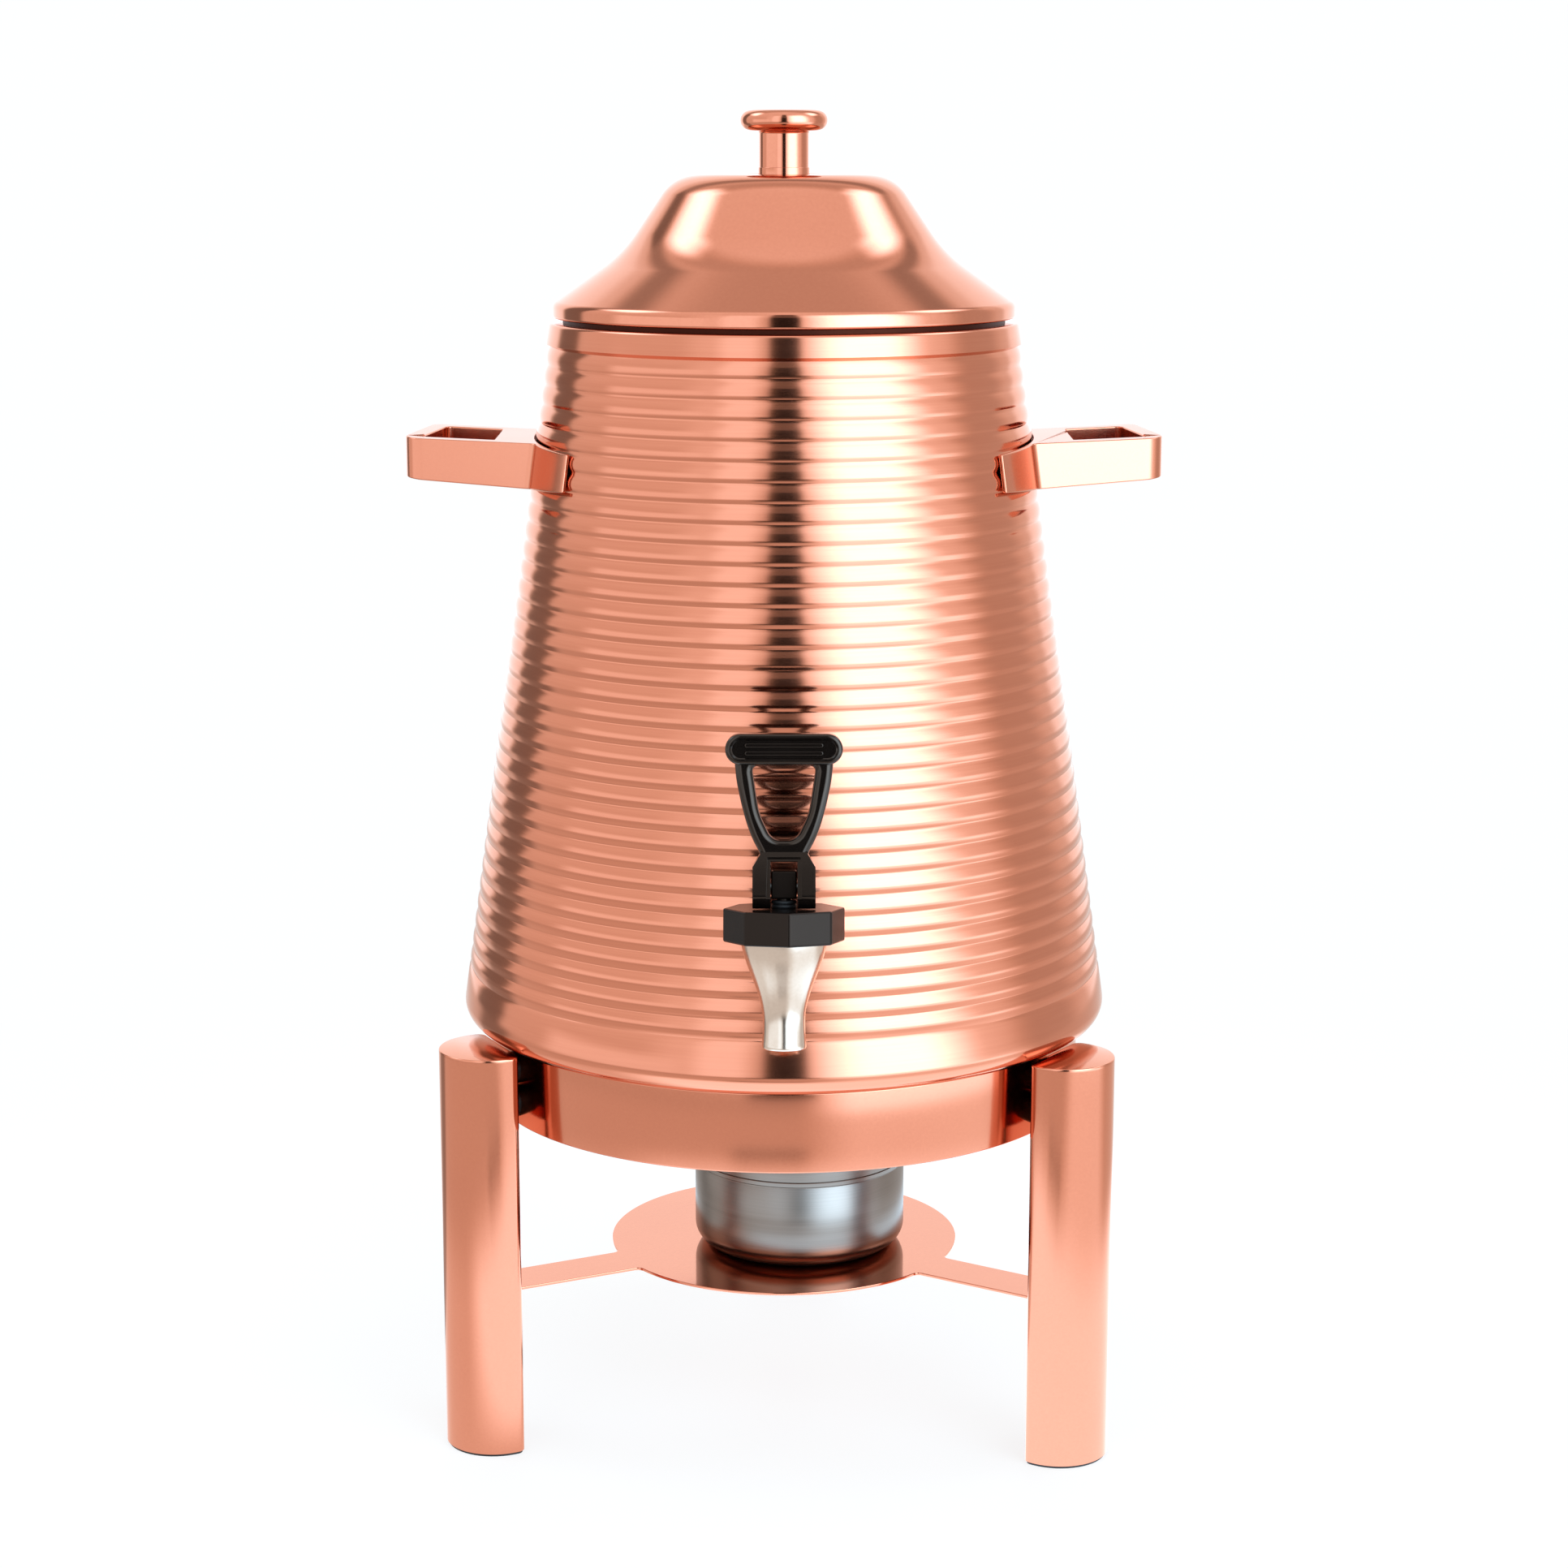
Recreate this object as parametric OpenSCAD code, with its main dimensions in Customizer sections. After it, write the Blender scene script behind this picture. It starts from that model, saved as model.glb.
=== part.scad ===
// Ribbed conical drinks urn on a three-legged stand, with a lever tap and a fuel burner.
// The origin is on the ground below the middle of the whole object. +Z is up, the tap is at -Y.

/* [Stand] */
// Height of the ring's top, where the urn stands
ring_top = 177.5; // [165:0.5:200]
// Height of the ring's band
ring_h = 34.3; // [28:0.1:40]
// Thickness of the ring's sheet
ring_wall = 1.5; // [1:0.1:2.5]
// Width of the flange that carries the urn
ring_flange_w = 19.5; // [16:0.5:24]
// How far the ring stands out past the urn's flat bottom
ring_lip = 1.65; // [0.5:0.05:3]
// Turn of the stand under the urn, in degrees
stand_turn = -3; // [-10:0.5:10]
// Radius of a leg's rounded outer side
leg_r = 21.6; // [19:0.1:24]
// Depth of a leg's straight sides, inward from its round
leg_flat_in = 5.6; // [4.5:0.1:9]
// Radius of a leg's inner corners
leg_corner_r = 4; // [2.5:0.1:5]
// Gap between the ring and a leg's flat face
leg_gap = 5.75; // [3:0.05:8]
// How far the legs rise above the ring
leg_rise = 0.9; // [0.2:0.1:4]
// Thickness of a leg's wall
leg_wall = 1.5; // [1:0.1:2]
// Thickness of a leg's top cap
leg_cap_t = 1.5; // [1:0.1:3]
// Thickness of a foot pad
foot_pad_t = 1.2; // [0.8:0.1:3]

/* [Burner shelf] */
// Radius of the shelf's disc
shelf_r = 78; // [70:0.5:90]
// Height of the shelf's top
shelf_top = 72; // [60:0.1:80]
// Thickness of the shelf
shelf_t = 1.2; // [1:0.1:3]
// Width of a shelf arm
arm_w = 23; // [18:0.5:30]
// Fillet between an arm and the disc
arm_fillet_r = 3; // [2:0.5:8]

/* [Urn] */
// Radius of the first groove, below the top band
groove_top_r = 100.9; // [97:0.1:105]
// Growth of the radius per height, going down
taper_share = 0.14; // [0.12:0.005:0.15]
// Number of ribs
rib_count = 33; // [28:1:36]
// Height of one rib
rib_pitch = 8.242; // [7.6:0.001:8.8]
// How far a rib bulges past its grooves
rib_rise = 0.9; // [0.5:0.1:1.5]
// Thickness of the urn's sheet
urn_wall = 1.2; // [0.8:0.1:1.6]
// Height of the plain band at the top
band_h = 9.3; // [7:0.1:14]
// Radius of the band's top edge
band_edge_r = 3.2; // [1.5:0.1:4]
// Width of the ledge around the mouth
ledge_w = 8.9; // [7.5:0.1:11]
// Height of the plain bottom pan
base_h = 24.6; // [20:0.1:28]
// Radius of the pan's bottom corner
base_corner_r = 13; // [10:0.1:15]
// Height of the foot ring that drops into the stand
foot_h = 7.5; // [5:0.1:12]

/* [Lid] */
// Height of the lid's crown above the urn
lid_h = 62.8; // [56:0.1:68]
// How far the rim stays inside the first groove
lid_setback = 1.2; // [0.5:0.1:3]
// Radius of the rolled rim
rim_r = 3.8; // [3:0.1:5]
// Shadow gap between the rim and the urn
lid_gap = 2.7; // [1.5:0.1:4]
// Thickness of the lid's sheet
lid_wall = 1; // [0.8:0.1:1.4]
// Radius of the crown's shoulder
crown_r = 19.5; // [16:0.1:22]
// Radius of the flat crown inside the shoulder
crown_flat_r = 36.2; // [33:0.1:38]
// How much steeper than a straight line to the rim the bell's upper side is, in degrees
steep_over = 11.1; // [8:0.1:14]
// How much flatter than that line the bell's flare is, in degrees
flare_under = 9.7; // [7:0.1:12]
// Radius of the waist between them
waist_r = 55; // [40:1:60]
// Depth of the lid's skirt inside the mouth
skirt_h = 12.4; // [8:0.1:18]
// Radius of the knob
knob_r = 18.7; // [16:0.1:22]
// Thickness of the knob's button
knob_t = 8.8; // [7:0.1:10]
// Height of the knob
knob_h = 27.6; // [24:0.1:32]
// Radius of the knob's stem
knob_stem_r = 10.6; // [9:0.1:12]

/* [Handles] */
// Height of a handle
handle_h = 19.5; // [16:0.1:22]
// Distance from the urn's top down to the handles
handle_drop = 48.6; // [45:0.1:70]
// Sweep of the handles towards the back, in degrees
handle_sweep = 12.5; // [10:0.5:15]
// Rise of a handle going outward, in degrees
handle_slope = 1.7; // [0:0.1:3]
// Rise of a handle going back, in degrees
handle_tilt = 2.3; // [0:0.1:3]
// Narrowing of a handle going outward, in degrees
handle_taper = 2.4; // [0:0.1:4]
// Width of a handle from front to back
handle_w = 46.6; // [42:0.1:50]
// Distance of a handle's front face from the urn's axis
handle_front = 51.2; // [49:0.1:54]
// Reach of a handle beyond the urn's ribs
handle_reach = 47.3; // [40:0.1:52]
// Thickness of a handle's bars
handle_bar = 6; // [5:0.1:7]
// Radius of a handle's outer front corner
handle_corner_r = 10; // [8:0.1:14]
// Radius of a handle's outer back corner
handle_back_r = 4; // [3:0.1:10]
// Length of a tab along the urn
tab_len = 37; // [20:0.5:40]
// Thickness of a tab
tab_t = 2; // [1.5:0.1:3]

/* [Tap] */
// Height of the tap's shank in the urn's wall above the ring
shank_rise = 61.2; // [58:0.1:70]
// Radius of the shank
shank_r = 8; // [7.5:0.1:8.1]
// Radius of the shank's bore
shank_bore_r = 5; // [4:0.1:5.5]
// Distance from the urn's wall to the spout's axis
tap_reach = 40.6; // [38:0.1:48]
// Drop of the spout's tip below the shank
spout_drop = 34.2; // [32:0.1:40]
// Radius of the spout's neck
spout_neck_r = 8.3; // [7.8:0.1:9]
// Radius of the spout's tip
spout_tip_r = 8.9; // [8.4:0.1:9.5]
// Radius of the spout below the bonnet
spout_top_r = 17.3; // [17:0.1:18.5]
// Radius of the spout's outlet
outlet_r = 5.5; // [4.6:0.1:6]
// Radius of the bonnet's corners
bonnet_r = 24.1; // [23:0.1:26]
// Height of the bonnet
bonnet_h = 13.3; // [12.5:0.1:15]
// Turn of the bonnet's front corner, in degrees
bonnet_turn = 5; // [-20:1:20]
// Radius of the stem
stem_r = 3; // [2.6:0.1:3.4]
// Height of the lever's pin above the bonnet
pin_rise = 8.3; // [8.3:0.1:8.8]

/* [Lever] */
// Height of the lever above its pin
lever_h = 60.1; // [56:0.1:66]
// Width of the lever's grip
grip_w = 46; // [42:0.1:50]
// Height of the lever's grip
grip_h = 12.2; // [11:0.1:13.5]
// Thickness of the lever's grip
grip_t = 12; // [10:0.1:14]
// Thickness of the lever's arms
lever_t = 9; // [8:0.1:11]
// Width of the lever's fork
fork_w = 24.6; // [23:0.1:26]
// Width of the slot in the fork
slot_w = 10.6; // [10.2:0.1:11.2]

/* [Burner] */
// Radius of the burner cup
burner_r = 47; // [44:0.1:50]
// Height of the burner cup
cup_h = 38.2; // [34:0.1:42]
// Height of the burner's cover
cover_h = 14; // [12:0.1:18]
// Radius of the cup's bottom corner
cup_corner_r = 9; // [6:0.1:11]
// Thickness of the burner's sheet
burner_wall = 0.8; // [0.6:0.1:1]
// Radius of the flame opening
flame_r = 20; // [17:0.5:22]
// How far the burner stands to the right of the middle
burner_x = 7; // [0:0.5:12]
// How far the burner stands in front of the middle
burner_front = 4; // [0:0.5:8]

/* [Hidden] */
$fn = 96;

// Overrun of a cut, and clearances between pieces
overrun = 1;
weld_clear = 0.1;
thread_clear = 0.1;
screw_clear = 0.3;
slide_clear = 0.1;
pivot_clear = 0.05;

// Steps of a rounded corner, of a spout's curve, of a rib and of a cut that must follow the ring
corner_steps = 6;
fine_steps = 720;
spout_steps = 14;
rib_steps = 3;

// Heights and radii of the urn
seam_z = ring_top + base_h;
groove_top_z = seam_z + rib_count * rib_pitch;
urn_top = groove_top_z + band_h;
mouth_r = groove_top_r - ledge_w;
band_step = 0.8;
band_r = groove_top_r + rib_rise + band_step / 2;
wall_across = urn_wall * norm([1, taper_share]);
base_corner_z = ring_top + base_corner_r;
base_swell = 0.5;
base_r = groove_r(base_corner_z) + rib_rise + base_swell;
base_flat_r = base_r - base_corner_r;
pan_shoulder_h = 1.6;

// Stand
ring_r = base_flat_r + ring_lip;
ring_edge_r = 0.7;
ring_bore_r = ring_r - ring_flange_w;
leg_orbit = ring_r + leg_gap + leg_flat_in;
leg_flat_x = leg_orbit - leg_flat_in;
leg_top = ring_top + leg_rise;
leg_angles = [210 + stand_turn, 330 + stand_turn, 90 + stand_turn];
foot_pad_inset = 0.8;
spacer_r = 7;
leg_screw_r = 2.5;
leg_head_r = 4.5;
leg_head_t = 3;
nut_plate_t = 3;
nut_plate_w = 22;
nut_plate_margin = 7;
screw_pitch = 15;
screw_mid_z = ring_top - ring_h / 2;
screw_heights = [screw_mid_z - screw_pitch / 2, screw_mid_z + screw_pitch / 2];
leg_screw_tip = 2;
arm_sunk = 1;

// Foot ring under the urn
foot_clear = 1;
foot_r = ring_bore_r - foot_clear;
foot_wall = 1.5;

// Lid
lid_z = urn_top + lid_gap;
lid_r = groove_top_r - lid_setback;
rim_mid = [lid_r - rim_r, lid_z + rim_r];
crown_top = urn_top + lid_h;
crown_mid = [crown_flat_r, crown_top - crown_r];
crown_to_rim = rim_mid - crown_mid;
straight_slope = atan2(-crown_to_rim.y, crown_to_rim.x) + asin((crown_r - rim_r) / norm(crown_to_rim));
steep_angle = straight_slope + steep_over;
flare_angle = straight_slope - flare_under;
crown_end = crown_mid + crown_r * [sin(steep_angle), cos(steep_angle)];
flare_end = rim_mid + rim_r * [sin(flare_angle), cos(flare_angle)];
waist_point = crossing(crown_end, [cos(steep_angle), -sin(steep_angle)],
                       flare_end, [cos(flare_angle), -sin(flare_angle)]);
dish_r = 18;
dish_edge_w = 5;
dish_depth = 1;
dish_z = crown_top - dish_depth;
knob_screw_r = 3;
lid_hole_r = knob_screw_r + screw_clear;
rim_floor_w = 2.5;
skirt_clear = 0.5;
skirt_wall = 1.2;
skirt_r = mouth_r - skirt_clear;
skirt_shoulder_w = 3.5;
knob_collar_h = 3.6;
knob_collar_rise = 0.3;
knob_thread_h = 16;
knob_washer_r = 9;
knob_washer_t = 1;
knob_head_r = 5.5;
knob_head_t = 3.5;

// Handles, in a frame whose X runs along the handle
handle_z = urn_top - handle_drop - handle_h;
handle_root_u = rib_r(handle_z);
handle_out_u = handle_root_u + handle_reach;
handle_mid_v = handle_w / 2 - handle_front;
handle_back_v = handle_w - handle_front;
outer_bar = 8;
window_front_u = 7;
window_back_u = 14;
window_corner_r = 3;
tab_trim = 1.6;
handle_gap = 0.15;

// Tap: its shank stands square to the sloping wall, so the tap leans back by the wall's slope.
// Its own Z is zero at the shank's axis, and its own Y is zero on the line of the grooves.
shank_z = ring_top + shank_rise;
tap_lean = atan(taper_share);
socket_r = 15;
socket_proud = 1.7;
socket_lip = 1;
socket_sagitta = groove_r(shank_z) - norm_leg(groove_r(shank_z), socket_r);
socket_out_y = -rib_rise - socket_proud;
socket_in_y = urn_wall + socket_sagitta + socket_lip;
gasket_t = 2;
gasket_r = 13;
flange_r = 12.5;
flange_t = 3;
tap_washer_t = 1.5;
tap_washer_r = 13.5;
tap_nut_t = 6;
tap_nut_af = 24;
shank_spare = 4;
flange_y = socket_out_y - gasket_t;
washer_y = socket_in_y + gasket_t;
nut_y = washer_y + tap_washer_t;
shank_end_y = nut_y + tap_nut_t + shank_spare;

// Spout and valve
spout_tip = -spout_drop;
spout_neck_z = -23.6;
spout_blend_h = 36.4;
bonnet_z = 8.2;
bonnet_top = bonnet_z + bonnet_h;
spout_shoulder_gap = 0.2;
spout_shoulder_z = bonnet_z - spout_shoulder_gap;
thread_r = 16.2;
barrel_h = 6.8;
barrel_top = bonnet_z + barrel_h;
seat_z = -6.5;
chamber_r = 13.4;
chamber_floor_r = 9.8;
chamber_cone_h = 9;
mouth_flare = 1;
mouth_flare_h = 3;
seal_t = 2;
seal_r = thread_r - slide_clear;
seal_top = barrel_top + seal_t;
cup_disc_r = 8.4;
cup_disc_t = 4;
cup_hub_r = 5;
cup_hub_h = 5;
stem_sink = 3;
spring_r = 6.6;
spring_wire_r = 0.45;
spring_turns = 6;
spring_sides = 6;
spring_turn_steps = 12;
boot_r = 5;
boot_t = 3;

// Stem head and lever pin
pin_z = bonnet_top + pin_rise;
pin_r = 1.5;
pin_inset = 0.6;
head_clear = 0.3;
head_w = slot_w - 2 * head_clear;
head_depth = 8;
head_under = 4.6;
head_over = 6.4;

// Lever, measured from its pin
cheek_in = slot_w / 2;
boss_r = 6.5;
toe_r = 6;
toe_forward = 7;
toe_down = 2;
arch_z = 10.3;
waist_z = 12.9;
waist_w = 18.8;
grip_low = lever_h - grip_h;
arm_top_w = 38.4;
pane_top_gap = 0.5;
pane_top_w = 25;
pane_corner_r = 2;
pane_side_r = 27;
pane_h = 28.8;
pane_low_w = 9.6;
pane_low_r = 5.5;
pane_mid_w = 19.6;
pane_mid_drop = 18.4;
fork_shoulder_z = 8.2;
fork_low = 8;

// Shares of the arms' height and of their top width, going up
arm_shares = [[0.2, 0.667], [0.45, 0.818], [0.78, 0.953]];

// Burner
cover_z = shelf_top + cup_h;
cover_top = cover_z + cover_h;
cover_plate_t = 1.2;
cover_ring_drop = 6;
cover_ring_clear = 0.2;
cover_ring_t = 1;
cover_step_h = 1.5;
damper_r = 23;
damper_t = 1;
damper_arm = 31;
damper_ear_r = 5;
rivet_r = 2;
rivet_head_r = 3.5;
rivet_head_t = 1.2;
damper_knob_r = 4;
damper_knob_h = 8;
damper_knob_neck_r = 2.5;
damper_knob_neck_h = 3;

// The urn's axis lies behind the middle, because the tap reaches further than the back leg
bonnet_reach = tap_reach + bonnet_r * cos(bonnet_turn);
front_reach = groove_r(shank_z) + bonnet_reach * cos(tap_lean) - bonnet_z * sin(tap_lean);
back_reach = leg_orbit * sin(leg_angles[2]) + leg_r;
axis_y = (front_reach - back_reach) / 2;

// Radius of the grooves' line and of the ribs' line at a height
function groove_r(z) = groove_top_r + taper_share * (groove_top_z - z);
function rib_r(z) = groove_r(z) + rib_rise;

// The other leg of a right triangle
function norm_leg(long, short) = sqrt(long * long - short * short);

// Small helpers for outlines
function unit(v) = v / norm(v);
function left_of(a, b) = let (d = unit(b - a)) [-d.y, d.x];
function crossing(p, u, q, v) = p + u * cross(q - p, v) / cross(u, v);
function reversed(list) = [for (i = [len(list) - 1:-1:0]) list[i]];
function arc(mid, r, from, to, steps) =
    [for (i = [0:steps]) let (a = from + (to - from) * i / steps) mid + r * [cos(a), sin(a)]];

// An open line moved sideways by a distance, to give a sheet its thickness
function moved_at(line, i, by) =
    let (last = len(line) - 1,
         before = left_of(line[max(i - 1, 0)], line[max(i, 1)]),
         after = left_of(line[min(i, last - 1)], line[min(i + 1, last)]),
         across = unit(before + after))
    line[i] + across * by / (before * across);
function moved(line, by) = [for (i = [0:len(line) - 1]) moved_at(line, i, by)];

// A closed outline with a radius at each corner
function rounded_corner(a, b, c, r) =
    let (u = unit(a - b), v = unit(c - b), half = acos(u * v) / 2,
         mid = b + unit(u + v) * r / sin(half),
         p = b + u * r / tan(half) - mid,
         q = b + v * r / tan(half) - mid,
         from = atan2(p.y, p.x),
         sweep = (atan2(q.y, q.x) - from + 540) % 360 - 180)
    arc(mid, r, from, from + sweep, corner_steps);
function rounded(points, radii) =
    let (n = len(points))
    [for (i = [0:n - 1]) each
        radii[i] > 0 ? rounded_corner(points[(i + n - 1) % n], points[i], points[(i + 1) % n], radii[i])
                     : [points[i]]];
function mirrored_x(line) = [for (p = reversed(line)) [-p.x, p.y]];

module at_axis() {
    translate([0, axis_y, 0]) children();
}

module copper() {
    color([0.80, 0.50, 0.38]) children();
}

module steel() {
    color([0.74, 0.73, 0.71]) children();
}

module black() {
    color([0.10, 0.09, 0.09]) children();
}

module silicone() {
    color([0.86, 0.84, 0.80]) children();
}

// A flat ring
module washer(outer, inner, t) {
    difference() {
        cylinder(h = t, r = outer);
        translate([0, 0, -overrun]) cylinder(h = t + 2 * overrun, r = inner);
    }
}

// A cylinder along local X, from one place to the other
module rod_x(from, to, r) {
    translate([from, 0, 0]) rotate([0, 90, 0]) cylinder(h = to - from, r = r);
}

// A cylinder along Y, from one place to the other
module rod_y(from, to, r) {
    translate([0, to, 0]) rotate([90, 0, 0]) cylinder(h = to - from, r = r);
}

// Stand

module leg_outline(inset) {
    r = leg_r - inset;
    corner = leg_corner_r - inset;
    flat = leg_flat_x + inset;
    intersection() {
        translate([leg_orbit, 0]) circle(r);
        translate([leg_orbit, -r]) square([r, 2 * r]);
    }
    translate([flat + corner, -r]) square([leg_orbit - flat - corner, 2 * r]);
    translate([flat, corner - r]) square([leg_orbit - flat, 2 * (r - corner)]);
    for (side = [-1, 1])
        translate([flat + corner, side * (r - corner)]) circle(corner);
}

module at_leg(which) {
    at_axis() rotate([0, 0, leg_angles[which]]) children();
}

module at_screws() {
    for (z = screw_heights) translate([0, 0, z]) children();
}

module leg(which) {
    copper() at_leg(which) difference() {
        translate([0, 0, foot_pad_t]) linear_extrude(leg_top - leg_cap_t - foot_pad_t) leg_outline(0);
        linear_extrude(leg_top) leg_outline(leg_wall);
        at_screws() rod_x(leg_flat_x - overrun, leg_flat_x + leg_wall + overrun, leg_screw_r + screw_clear);
    }
}

module leg_left() {
    leg(0);
}

module leg_right() {
    leg(1);
}

module leg_back() {
    leg(2);
}

module leg_caps() {
    copper() for (which = [0:2])
        at_leg(which) translate([0, 0, leg_top - leg_cap_t]) linear_extrude(leg_cap_t) leg_outline(0);
}

module foot_pads() {
    black() for (which = [0:2])
        at_leg(which) linear_extrude(foot_pad_t) leg_outline(foot_pad_inset);
}

module stand_ring() {
    band = [
        [ring_bore_r, ring_top - ring_wall], [ring_r - ring_wall, ring_top - ring_wall],
        [ring_r - ring_wall, ring_top - ring_h], [ring_r, ring_top - ring_h],
        [ring_r, ring_top], [ring_bore_r, ring_top]
    ];
    copper() difference() {
        at_axis() rotate_extrude() polygon(rounded(band, [0, 0, 0, ring_edge_r, ring_edge_r, 0]));
        for (which = [0:2]) at_leg(which) at_screws()
            rod_x(ring_r - ring_wall - overrun, ring_r + overrun, leg_screw_r + screw_clear);
    }
}

module leg_spacers() {
    steel() for (which = [0:2]) at_leg(which) difference() {
        at_screws() rod_x(ring_r - ring_wall, leg_flat_x, spacer_r);
        cylinder(h = ring_top, r = ring_r, $fn = fine_steps);
        at_screws() rod_x(ring_r - ring_wall - overrun, leg_flat_x + overrun, leg_screw_r + screw_clear);
    }
}

module leg_nut_plates() {
    plate_h = screw_pitch + 2 * nut_plate_margin;
    steel() for (which = [0:2]) at_leg(which) difference() {
        translate([leg_flat_x + leg_wall, -nut_plate_w / 2, screw_mid_z - plate_h / 2])
            cube([nut_plate_t, nut_plate_w, plate_h]);
        at_screws() rod_x(leg_flat_x, leg_flat_x + leg_wall + nut_plate_t + overrun,
                          leg_screw_r + thread_clear);
    }
}

module leg_screws() {
    head_x = norm_leg(ring_r - ring_wall, leg_head_r);
    tip_x = leg_flat_x + leg_wall + nut_plate_t + leg_screw_tip;
    steel() for (which = [0:2]) at_leg(which) at_screws() {
        rod_x(head_x - leg_head_t, head_x, leg_head_r);
        rod_x(head_x - leg_head_t, tip_x, leg_screw_r);
    }
}

// One polygon, whose fillets end a little inside the disc, so that they cross its edge cleanly
module shelf_arm() {
    half = arm_w / 2;
    fillet_mid = [norm_leg(shelf_r + arm_fillet_r, half + arm_fillet_r), half + arm_fillet_r];
    fillet = arc(fillet_mid, arm_fillet_r, -90, atan2(fillet_mid.y, fillet_mid.x) - 180, corner_steps);
    sunk = unit(fillet_mid) * (shelf_r - arm_sunk);
    side = concat([[leg_flat_x, half]], [for (i = [0:corner_steps - 1]) fillet[i]], [sunk]);
    polygon(concat(side, [for (p = reversed(side)) [p.x, -p.y]]));
}

module burner_shelf() {
    copper() at_axis() translate([0, 0, shelf_top - shelf_t]) linear_extrude(shelf_t) {
        circle(shelf_r);
        for (angle = leg_angles) rotate(angle) shelf_arm();
    }
}

// Urn

// One rib is a bulge between two grooves, and the last groove closes the list
rib_line = [
    for (i = [0:rib_count - 1], step = [0:rib_steps - 1])
        let (share = step / rib_steps, z = groove_top_z - (i + share) * rib_pitch)
        [groove_r(z) + rib_rise * sin(180 * share), z],
    [groove_r(seam_z), seam_z]
];

module urn_body() {
    edge_mid = [band_r - band_edge_r, urn_top - band_edge_r];
    outer = concat([[mouth_r, urn_top]], arc(edge_mid, band_edge_r, 90, 0, corner_steps),
                   [[band_r + band_step / 2, groove_top_z + band_step]], rib_line);
    inner = [
        [groove_r(seam_z) - wall_across, seam_z],
        [groove_top_r - wall_across, groove_top_z],
        [edge_mid.x, urn_top - urn_wall],
        [mouth_r, urn_top - urn_wall]
    ];
    copper() at_axis() difference() {
        rotate_extrude() polygon(concat(outer, inner));
        on_wall() rod_y(-socket_r, socket_r, socket_r + weld_clear);
    }
}

module urn_base() {
    corner_mid = [base_flat_r, base_corner_z];
    outer = concat([[groove_r(seam_z), seam_z], [rib_r(seam_z - pan_shoulder_h), seam_z - pan_shoulder_h]],
                   arc(corner_mid, base_corner_r, atan(taper_share), -90, 2 * corner_steps),
                   [[0, ring_top]]);
    inner = [for (p = moved(outer, -urn_wall)) [p.x, min(p.y, seam_z)]];
    copper() at_axis() rotate_extrude() polygon(concat(outer, reversed(inner)));
}

module urn_foot() {
    copper() at_axis() translate([0, 0, ring_top - foot_h]) washer(foot_r, foot_r - foot_wall, foot_h);
}

// The loop of a handle, seen from above with X along the handle
module handle_loop() {
    window_front = handle_root_u + window_front_u;
    window_back = handle_root_u + window_back_u;
    window_out = handle_out_u - outer_bar;
    loop = [
        [mouth_r, -handle_front], [handle_out_u, -handle_front],
        [handle_out_u, handle_back_v], [mouth_r, handle_back_v]
    ];
    window = [
        [window_front, handle_bar - handle_front], [window_out, handle_bar - handle_front],
        [window_out, handle_back_v - handle_bar], [window_back, handle_back_v - handle_bar]
    ];
    difference() {
        polygon(rounded(loop, [0, handle_corner_r, handle_back_r, 0]));
        polygon(rounded(window, [0, window_corner_r, window_corner_r, 0]));
    }
}

// A tab that lies along the cone of ribs, from one angle to another
module handle_tab(from, to) {
    low = handle_z + tab_trim;
    high = handle_z + handle_h - tab_trim;
    section = [
        [rib_r(low) - tab_t, low], [rib_r(low) + handle_gap + tab_t, low],
        [rib_r(high) + handle_gap + tab_t, high], [rib_r(high) - tab_t, high]
    ];
    rotate([0, 0, from]) rotate_extrude(angle = to - from) polygon(section);
}

module handle() {
    front_angle = asin(handle_front / handle_root_u);
    back_angle = asin(handle_back_v / handle_root_u);
    bar_angle = asin(handle_bar / handle_root_u);
    tab_angle = tab_len / handle_root_u * 180 / PI;
    rotate([0, 0, handle_sweep]) difference() {
        union() {
            translate([handle_root_u, handle_mid_v, handle_z])
                rotate([handle_tilt, -handle_slope, 0])
                difference() {
                    translate([-handle_root_u, -handle_mid_v, 0]) linear_extrude(handle_h) handle_loop();
                    rotate([0, -handle_taper, 0])
                        translate([0, -handle_w, -handle_w]) cube([2 * handle_w, 2 * handle_w, handle_w]);
                }
            handle_tab(-front_angle - tab_angle, -front_angle + bar_angle / 2);
            handle_tab(back_angle - bar_angle / 2, back_angle + tab_angle);
        }
        translate([0, 0, handle_z - handle_h])
            cylinder(h = 3 * handle_h,
                     r1 = rib_r(handle_z - handle_h) + handle_gap,
                     r2 = rib_r(handle_z + 2 * handle_h) + handle_gap);
    }
}

module handle_right() {
    copper() at_axis() handle();
}

module handle_left() {
    copper() at_axis() mirror([1, 0, 0]) handle();
}

// Tap

module on_wall() {
    translate([0, -groove_r(shank_z), shank_z]) rotate([-tap_lean, 0, 0]) children();
}

module at_shank() {
    at_axis() on_wall() children();
}

module at_tap() {
    at_shank() translate([0, -tap_reach, 0]) children();
}

module tap_socket() {
    copper() at_shank() difference() {
        rod_y(socket_out_y, socket_in_y, socket_r);
        rod_y(socket_out_y - overrun, socket_in_y + overrun, shank_r + screw_clear);
    }
}

module tap_gasket_outer() {
    silicone() at_shank() difference() {
        rod_y(flange_y, socket_out_y, gasket_r);
        rod_y(flange_y - overrun, socket_out_y + overrun, shank_r + screw_clear);
    }
}

module tap_gasket_inner() {
    silicone() at_shank() difference() {
        rod_y(socket_in_y, washer_y, gasket_r);
        rod_y(socket_in_y - overrun, washer_y + overrun, shank_r + screw_clear);
    }
}

module tap_washer() {
    steel() at_shank() difference() {
        rod_y(washer_y, nut_y, tap_washer_r);
        rod_y(washer_y - overrun, nut_y + overrun, shank_r + screw_clear);
    }
}

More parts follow.
